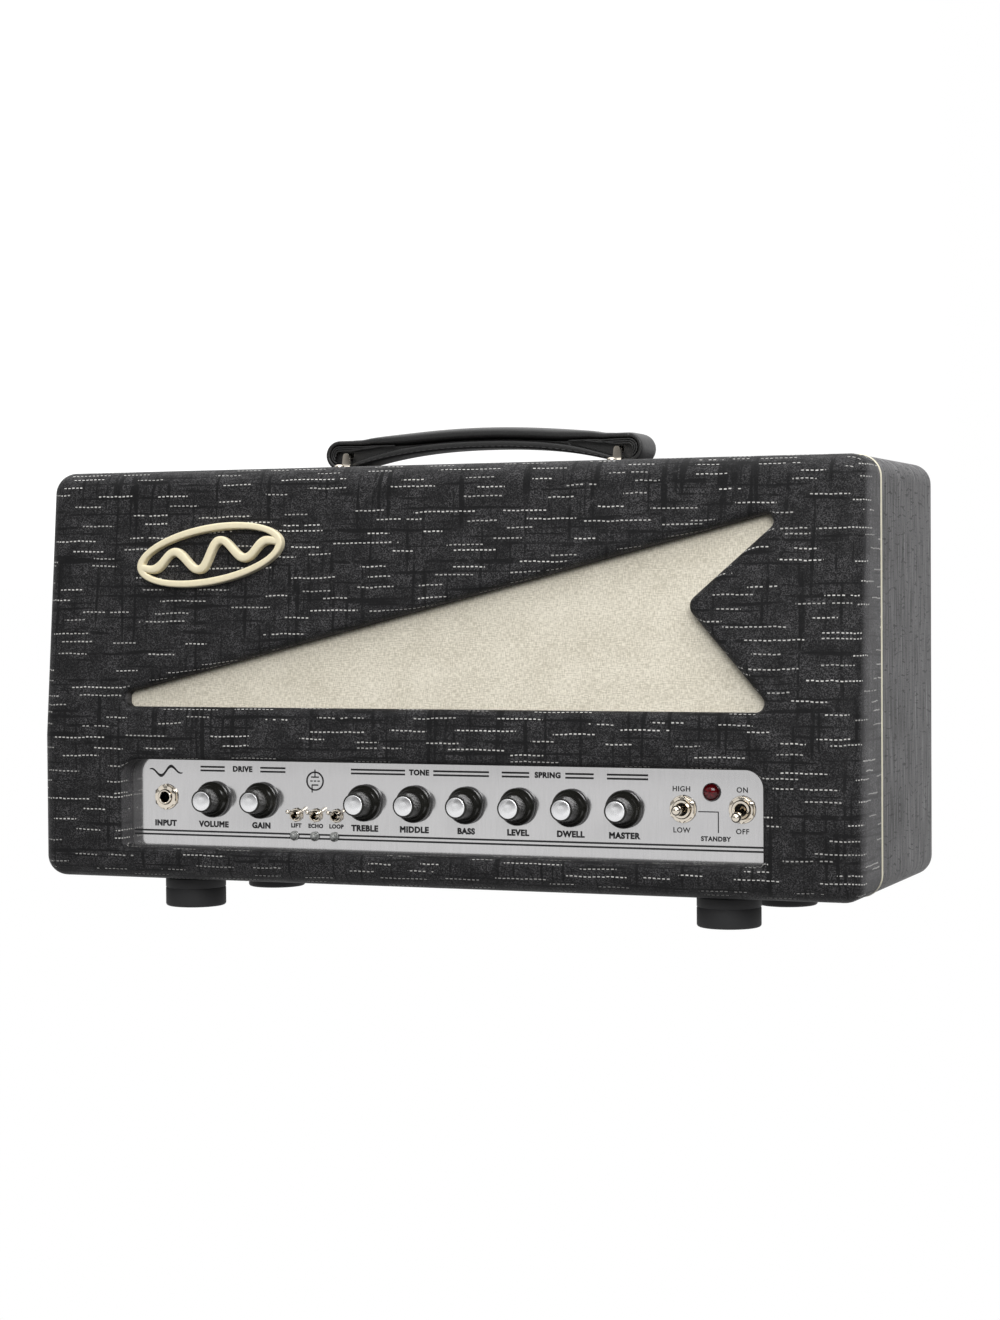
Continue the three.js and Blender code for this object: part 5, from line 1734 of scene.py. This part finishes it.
def jack_shape(wall_depth, nut_across, washer_radius):
    """A quarter-inch jack: case, threaded bushing, nut and washer, with a spring contact inside."""
    length = wall_depth + 22
    bore = 3.3
    bushing = 4.8
    case = build("case", block(about(0, 8), (wall_depth, length), about(0, 10), BLACK_PLASTIC, 0.8))
    carve(case, [build("bore", rod(bore + 0.2, (wall_depth - 1, length - 2), 32, BLACK_PLASTIC))])
    return together([
        taken_back(case, BLACK_PLASTIC),
        threaded_tube(bushing, bore, (-3.4, wall_depth), NICKEL, 0.75),
        hex_nut(nut_across, (-2.3, -0.95), bushing + CLEARANCE, NICKEL),
        flat_washer(washer_radius, bushing + CLEARANCE, (-0.9, SEAT), NICKEL),
        block(about(0, 1.1), (wall_depth + 3, wall_depth + 15), (2.4, 2.8), BRASS, 0.15)])


def make_jacks():
    low, high = node_box("input_jack")
    front = on_panel(jack_shape(WALL_BACK, 14.0, (high.x - low.x) / 2 - 0.1), node_middle("input_jack"))
    build("input_jack_body", front, "head", ["input_jack"], crease=35)
    rear = jack_shape(1.9, 12.0, 7.4)
    for jack in REAR_JACKS:
        build(jack + "_body", on_rear(rear, node_middle(jack)), "head", [jack], crease=35)


def make_lamps():
    """A domed red jewel in a thin bezel, and three small lamps."""
    middle = node_middle("pilot_jewel")
    back = node_box("pilot_jewel")[1].y - PANEL_FACE
    lens_profile = [*dome(5.0, 3.4, -1.1, 10), (5.0, -0.5), (4.5, -0.4), (4.5, 2.0), (0, 2.0)]
    lamp = together([lathe(lens_profile, 60, RED_LENS),
                     flat_washer(5.3, 5.05, (-1.0, SEAT), BLACK_PLASTIC, 0.08),
                     rod(4.4, (2.2, back), 32, BLACK_PLASTIC)])
    piece = build("pilot_jewel_lens", on_panel(lamp, middle), "head", ["pilot_jewel"], crease=35)
    lay_face_grain(piece, middle)
    for mini in MINIS:
        name = mini + "_indicator"
        back = node_box(name)[1].y - PANEL_FACE
        lamp = together([lathe([*dome(2.2, 2.2, -1.7, 8), (2.2, 1.0), (0, 1.0)], 32, CLEAR_LENS),
                         flat_washer(2.9, 2.25, (-1.3, SEAT), CLEAR_LENS, 0.4),
                         rod(2.2, (1.2, back), 24, BLACK_PLASTIC)])
        build(name + "_lens", on_panel(lamp, node_middle(name)), "head", [name], crease=35)


# ---------------------------------------------------------------- rear panel and its fittings
def make_rear_panel():
    """The black plate at the back, pierced for its jacks, fuse and inlet."""
    low, high = REAR_LOW, REAR_HIGH
    inlet, fuse = node_middle("mains_inlet"), node_middle("fuse_holder")
    depth = (low.y - 1, high.y + 1)
    piece = build("rear_panel_plate", slab(low, high, BLACK_METAL, 0.3))
    holes = [*[(node_middle(jack), HOLE["jack"]) for jack in REAR_JACKS], (fuse, HOLE["fuse"])]
    cutters = hole_cutters(holes, depth, BLACK_METAL)
    cutters.append(build("hole", block(about(inlet.x, 15.2), depth, about(inlet.z, 11.5), BLACK_METAL)))
    carve(piece, cutters)
    smooth(piece, crease=35)
    settle(piece, "head", ["rear_panel"])


def make_rear_print():
    ink = Shape()

    def write(word, x, z, kind):
        ink.add(lettering(word, x, z, **kind, material=WHITE_INK, face=REAR_FACE, turn=-1))
    for jack, word in zip(REAR_JACKS, ("SPEAKER", "SPEAKER", "RETURN", "SEND", "FOOTSWITCH")):
        middle = node_middle(jack)
        write(word, middle.x, middle.z - 13, REAR_LABEL)
    for node, word in (("mains_inlet", "MAINS"), ("fuse_holder", "FUSE")):
        middle = node_middle(node)
        write(word, middle.x, middle.z - 18.5, REAR_HEADING)
    for word, x in (("OUTPUTS", 69), ("EFFECTS LOOP", -75)):
        ink.add(printed_bar(about(x, 26), about(66, 0.25), WHITE_INK, REAR_FACE, -1))
        write(word, x, 69.5, REAR_LABEL)
    build("rear_print", ink, "head", crease=60)


def make_rear_screws():
    heights = (REAR_LOW.z + 5, REAR_HIGH.z - 5)
    places = [(x, REAR_FACE, z) for x in (-228, -110, 0, 115, 228) for z in heights]
    make_screws("rear_panel_screws", places, FACE_BACK, radius=2.8, height=1.5)


def make_mains_inlet():
    """Three-pin inlet in its flange, with two fixing screws."""
    middle = node_middle("mains_inlet")
    outline = rounded_outline(rectangle(25, -12.5, 12.5, 4), 8)
    edge = 0.8
    rim = -2.5
    stations = [(SEAT, 0), *[(rim - edge * math.sin(t), edge * math.cos(t) - edge) for t in quarter_turns(4)]]
    inlet = build("inlet", flared(outline, stations, BLACK_PLASTIC))
    case = build("case", block(about(0, 14.6), (-1, 24), about(0, 11), BLACK_PLASTIC))
    carve(inlet, [case], "UNION")
    corners = [(-12.4, -8.2), (12.4, -8.2), (12.4, 3.6), (8, 8.2), (-8, 8.2), (-12.4, 3.6)]
    hollow = skin([at_depth(corners, y) for y in (-5, 17)], BLACK_PLASTIC)
    carve(inlet, [build("socket", hollow)])
    shape = taken_back(inlet, BLACK_PLASTIC)
    for x, z in ((-7, -2.5), (7, -2.5), (0, 1.5)):
        shape.add(block(about(x, 1), (2, 17.2), about(z, 2), NICKEL, 0.5))
    build("mains_inlet_body", on_rear(shape, middle), "head", ["mains_inlet"], crease=30)
    places = [(middle.x + side * 20, REAR_FACE - rim + edge, middle.z) for side in (-1, 1)]
    make_screws("inlet_screws", places, FACE_BACK, radius=2.6, height=1.2)


def make_fuse_holder():
    """A ribbed cap with a slot across it, on a round holder."""
    ribs = 18

    def grip(angle):
        return 1 - 0.05 * max(0.0, math.cos(angle * ribs))
    shape = lathe([(0, -9.5), (5.3, -9.5), (5.8, -9.2), (6.1, -8.6, 1), (6.2, -3.0, 1), (6.2, -2.4),
                   (7.7, -2.4), (8.0, -2.1), (8.0, SEAT), (6, SEAT), (6, 30), (0, 30)],
                  ribs * 6, BLACK_PLASTIC, grip)
    cap = build("cap", shape)
    carve(cap, [build("slot", block(about(0, 4), (-10, -8.4), about(0, 0.6), BLACK_PLASTIC))])
    shape = on_rear(taken_back(cap, BLACK_PLASTIC), node_middle("fuse_holder"))
    build("fuse_holder_cap", shape, "head", ["fuse_holder"], crease=30)


# ---------------------------------------------------------------- valves
def envelope(profile, sides, wall):
    """A blown glass bulb: an outer skin and an inner one, joined at the foot. The profile runs upward."""
    narrow = 4
    inner = [(max(r - wall, 0.02), z - (wall if r < narrow else 0)) for r, z in reversed(profile)]
    return turned_ring([*profile, *inner], sides, GLASS).moved(UPRIGHT)


def upright_rod(radius, low, high, sides, material):
    return rod(radius, (low, high), sides, material).moved(UPRIGHT)


def place_valve(name, bulb, inside):
    """The glass of a valve and what stands in it, on the lowest point of its node."""
    middle, foot = node_middle(name), node_box(name)[0].z
    filling = together(inside).shifted(middle.x, middle.y, foot)
    build(name + "_inside", filling, "head", crease=35)
    build(name + "_bulb", bulb.shifted(middle.x, middle.y, foot), "head", [name], crease=50)


def make_power_valves():
    """Two large valves on black bases, with a finned anode between two mica plates."""
    bulb = envelope([(15.2, 18.6), (15.8, 22), (17.4, 28), (18.4, 36), (18.4, 82), (17.6, 90), (15, 96.5),
                     (10.5, 101), (5, 103.6), (1.2, 104.6)], 48, 0.8)
    base = lathe([(0, 0), (16.9, 0), (17.4, 0.6), (17.4, 17), (16.6, 18), (15.4, 18.4), (0, 18.4)],
                 48, BLACK_PLASTIC).moved(UPRIGHT)
    anode = block(about(0, 11), about(0, 6.5), (34, 78), PLATE_GREY, 1.6)
    fins = [block(about(side * 12.4, 1.6), about(0, 0.4), (36, 76), PLATE_GREY, 0.2) for side in (-1, 1)]
    micas = [upright_rod(15.6, z, z + 0.5, 32, MICA) for z in (31, 81)]
    rods = [upright_rod(0.5, 20, 92, 10, NICKEL).shifted(x, y) for x in (-6, 6) for y in (9, -9)]
    getter = lathe([(0, 91), (4.5, 91), (4.8, 91.6), (0, 92.2)], 24, NICKEL).moved(UPRIGHT)
    for name in ("power_tube_1", "power_tube_2"):
        place_valve(name, bulb, [base, anode, *fins, *micas, *rods, getter])


def make_small_valves():
    """Four small all-glass valves, each with two anodes."""
    bulb = envelope([(9.8, 0.3), (10.8, 2.5), (10.9, 40), (10.0, 45), (7.2, 49), (3.6, 50.8), (1.6, 52.4),
                     (0.8, 55.6)], 36, 0.7)
    anodes = [block(about(side * 4.2, 3.3), about(0, 3.6), (12, 36), PLATE_GREY, 0.8) for side in (-1, 1)]
    micas = [upright_rod(9.4, z, z + 0.4, 24, MICA) for z in (9.5, 38)]
    rods = [upright_rod(0.35, 1.5, 42, 8, NICKEL).shifted(x, y) for x, y in ((-4, 5.5), (4, 5.5), (0, -5.5))]
    for number in range(1, 5):
        place_valve(f"preamp_tube_{number}", bulb, [*anodes, *micas, *rods])


# ---------------------------------------------------------------- reverb tank springs and chassis screws
def coil(start, end, radius, wire, pitch, material):
    """A spring along X from start to end."""
    coils = int((end.x - start.x) / pitch)
    steps = coils * 10
    rings = []
    for k in range(steps + 1):
        t = k / steps
        angle = 2 * math.pi * coils * t
        way = Vector((0, math.cos(angle), math.sin(angle)))
        centre = start + (end - start) * t + way * radius
        rings.append([centre + way * (wire * math.cos(a)) + Vector((wire * math.sin(a), 0, 0))
                      for a in turns(4)])
    return skin(rings, material)


def make_tank_springs():
    """Three springs between two transducers in the open reverb tank."""
    low, high = node_box("reverb_tank")
    z = low.z + 14
    parts = []
    for y in (low.y + 32, low.y + 55, low.y + 78):
        parts.append(coil(Vector((low.x + 26, y, z)), Vector((high.x - 26, y, z)), 2.2, 0.3, 2.6, STEEL))
    for x in (low.x + 17, high.x - 17):
        parts.append(block(about(x, 8), (low.y + 24, high.y - 24), (low.z + 2, low.z + 11), BLACK_PLASTIC,
                           0.8))
    build("reverb_springs", together(parts), "head", crease=60)


def make_chassis_screws():
    low, high = node_box("chassis")
    for side, name in ((-1, "left"), (1, "right")):
        places = [(side * (high.x - 0.2), y, low.z + 40) for y in (60, 130)]
        outward = Matrix.Rotation(side * math.pi / 2, 4, "Z")
        make_screws("chassis_screws_" + name, places, outward, radius=3.4, height=1.6)


# ---------------------------------------------------------------- carried-over CAD nodes
CARRIED = {
    "chassis": STEEL,
    "grille_board": PLYWOOD,
    "control_board": BOARD_GREEN,
    "main_board": BOARD_GREEN,
    "power_transformer": CORE_BLACK,
    "output_transformer": CORE_BLACK,
    "reverb_tank": STEEL,
    "filter_capacitor": CAN_METAL,
}


def finish_carried():
    """Carried-over nodes keep their CAD meshes; a small bevel and their own finish are added."""
    for node, material in CARRIED.items():
        piece = frame["nodes"][node]
        piece.data.materials.clear()
        piece.data.materials.append(material)
        change = piece.modifiers.new("edges", "BEVEL")
        change.width = 0.25 * MM
        change.segments = 1
        change.limit_method = "ANGLE"
        change.angle_limit = math.radians(50)


make_front_frame()
make_welt()
make_box()
make_rear_cover()
make_vent()
make_grille_cloth()
make_badge()
make_feet()
make_grip()
make_handle_core()
make_handle_layers()
make_stitches()
make_brackets()
make_control_panel()
make_panel_print()
make_knobs()
make_switches()
make_jacks()
make_lamps()
make_rear_panel()
make_rear_print()
make_rear_screws()
make_mains_inlet()
make_fuse_holder()
make_power_valves()
make_small_valves()
make_tank_springs()
make_chassis_screws()
finish_carried()
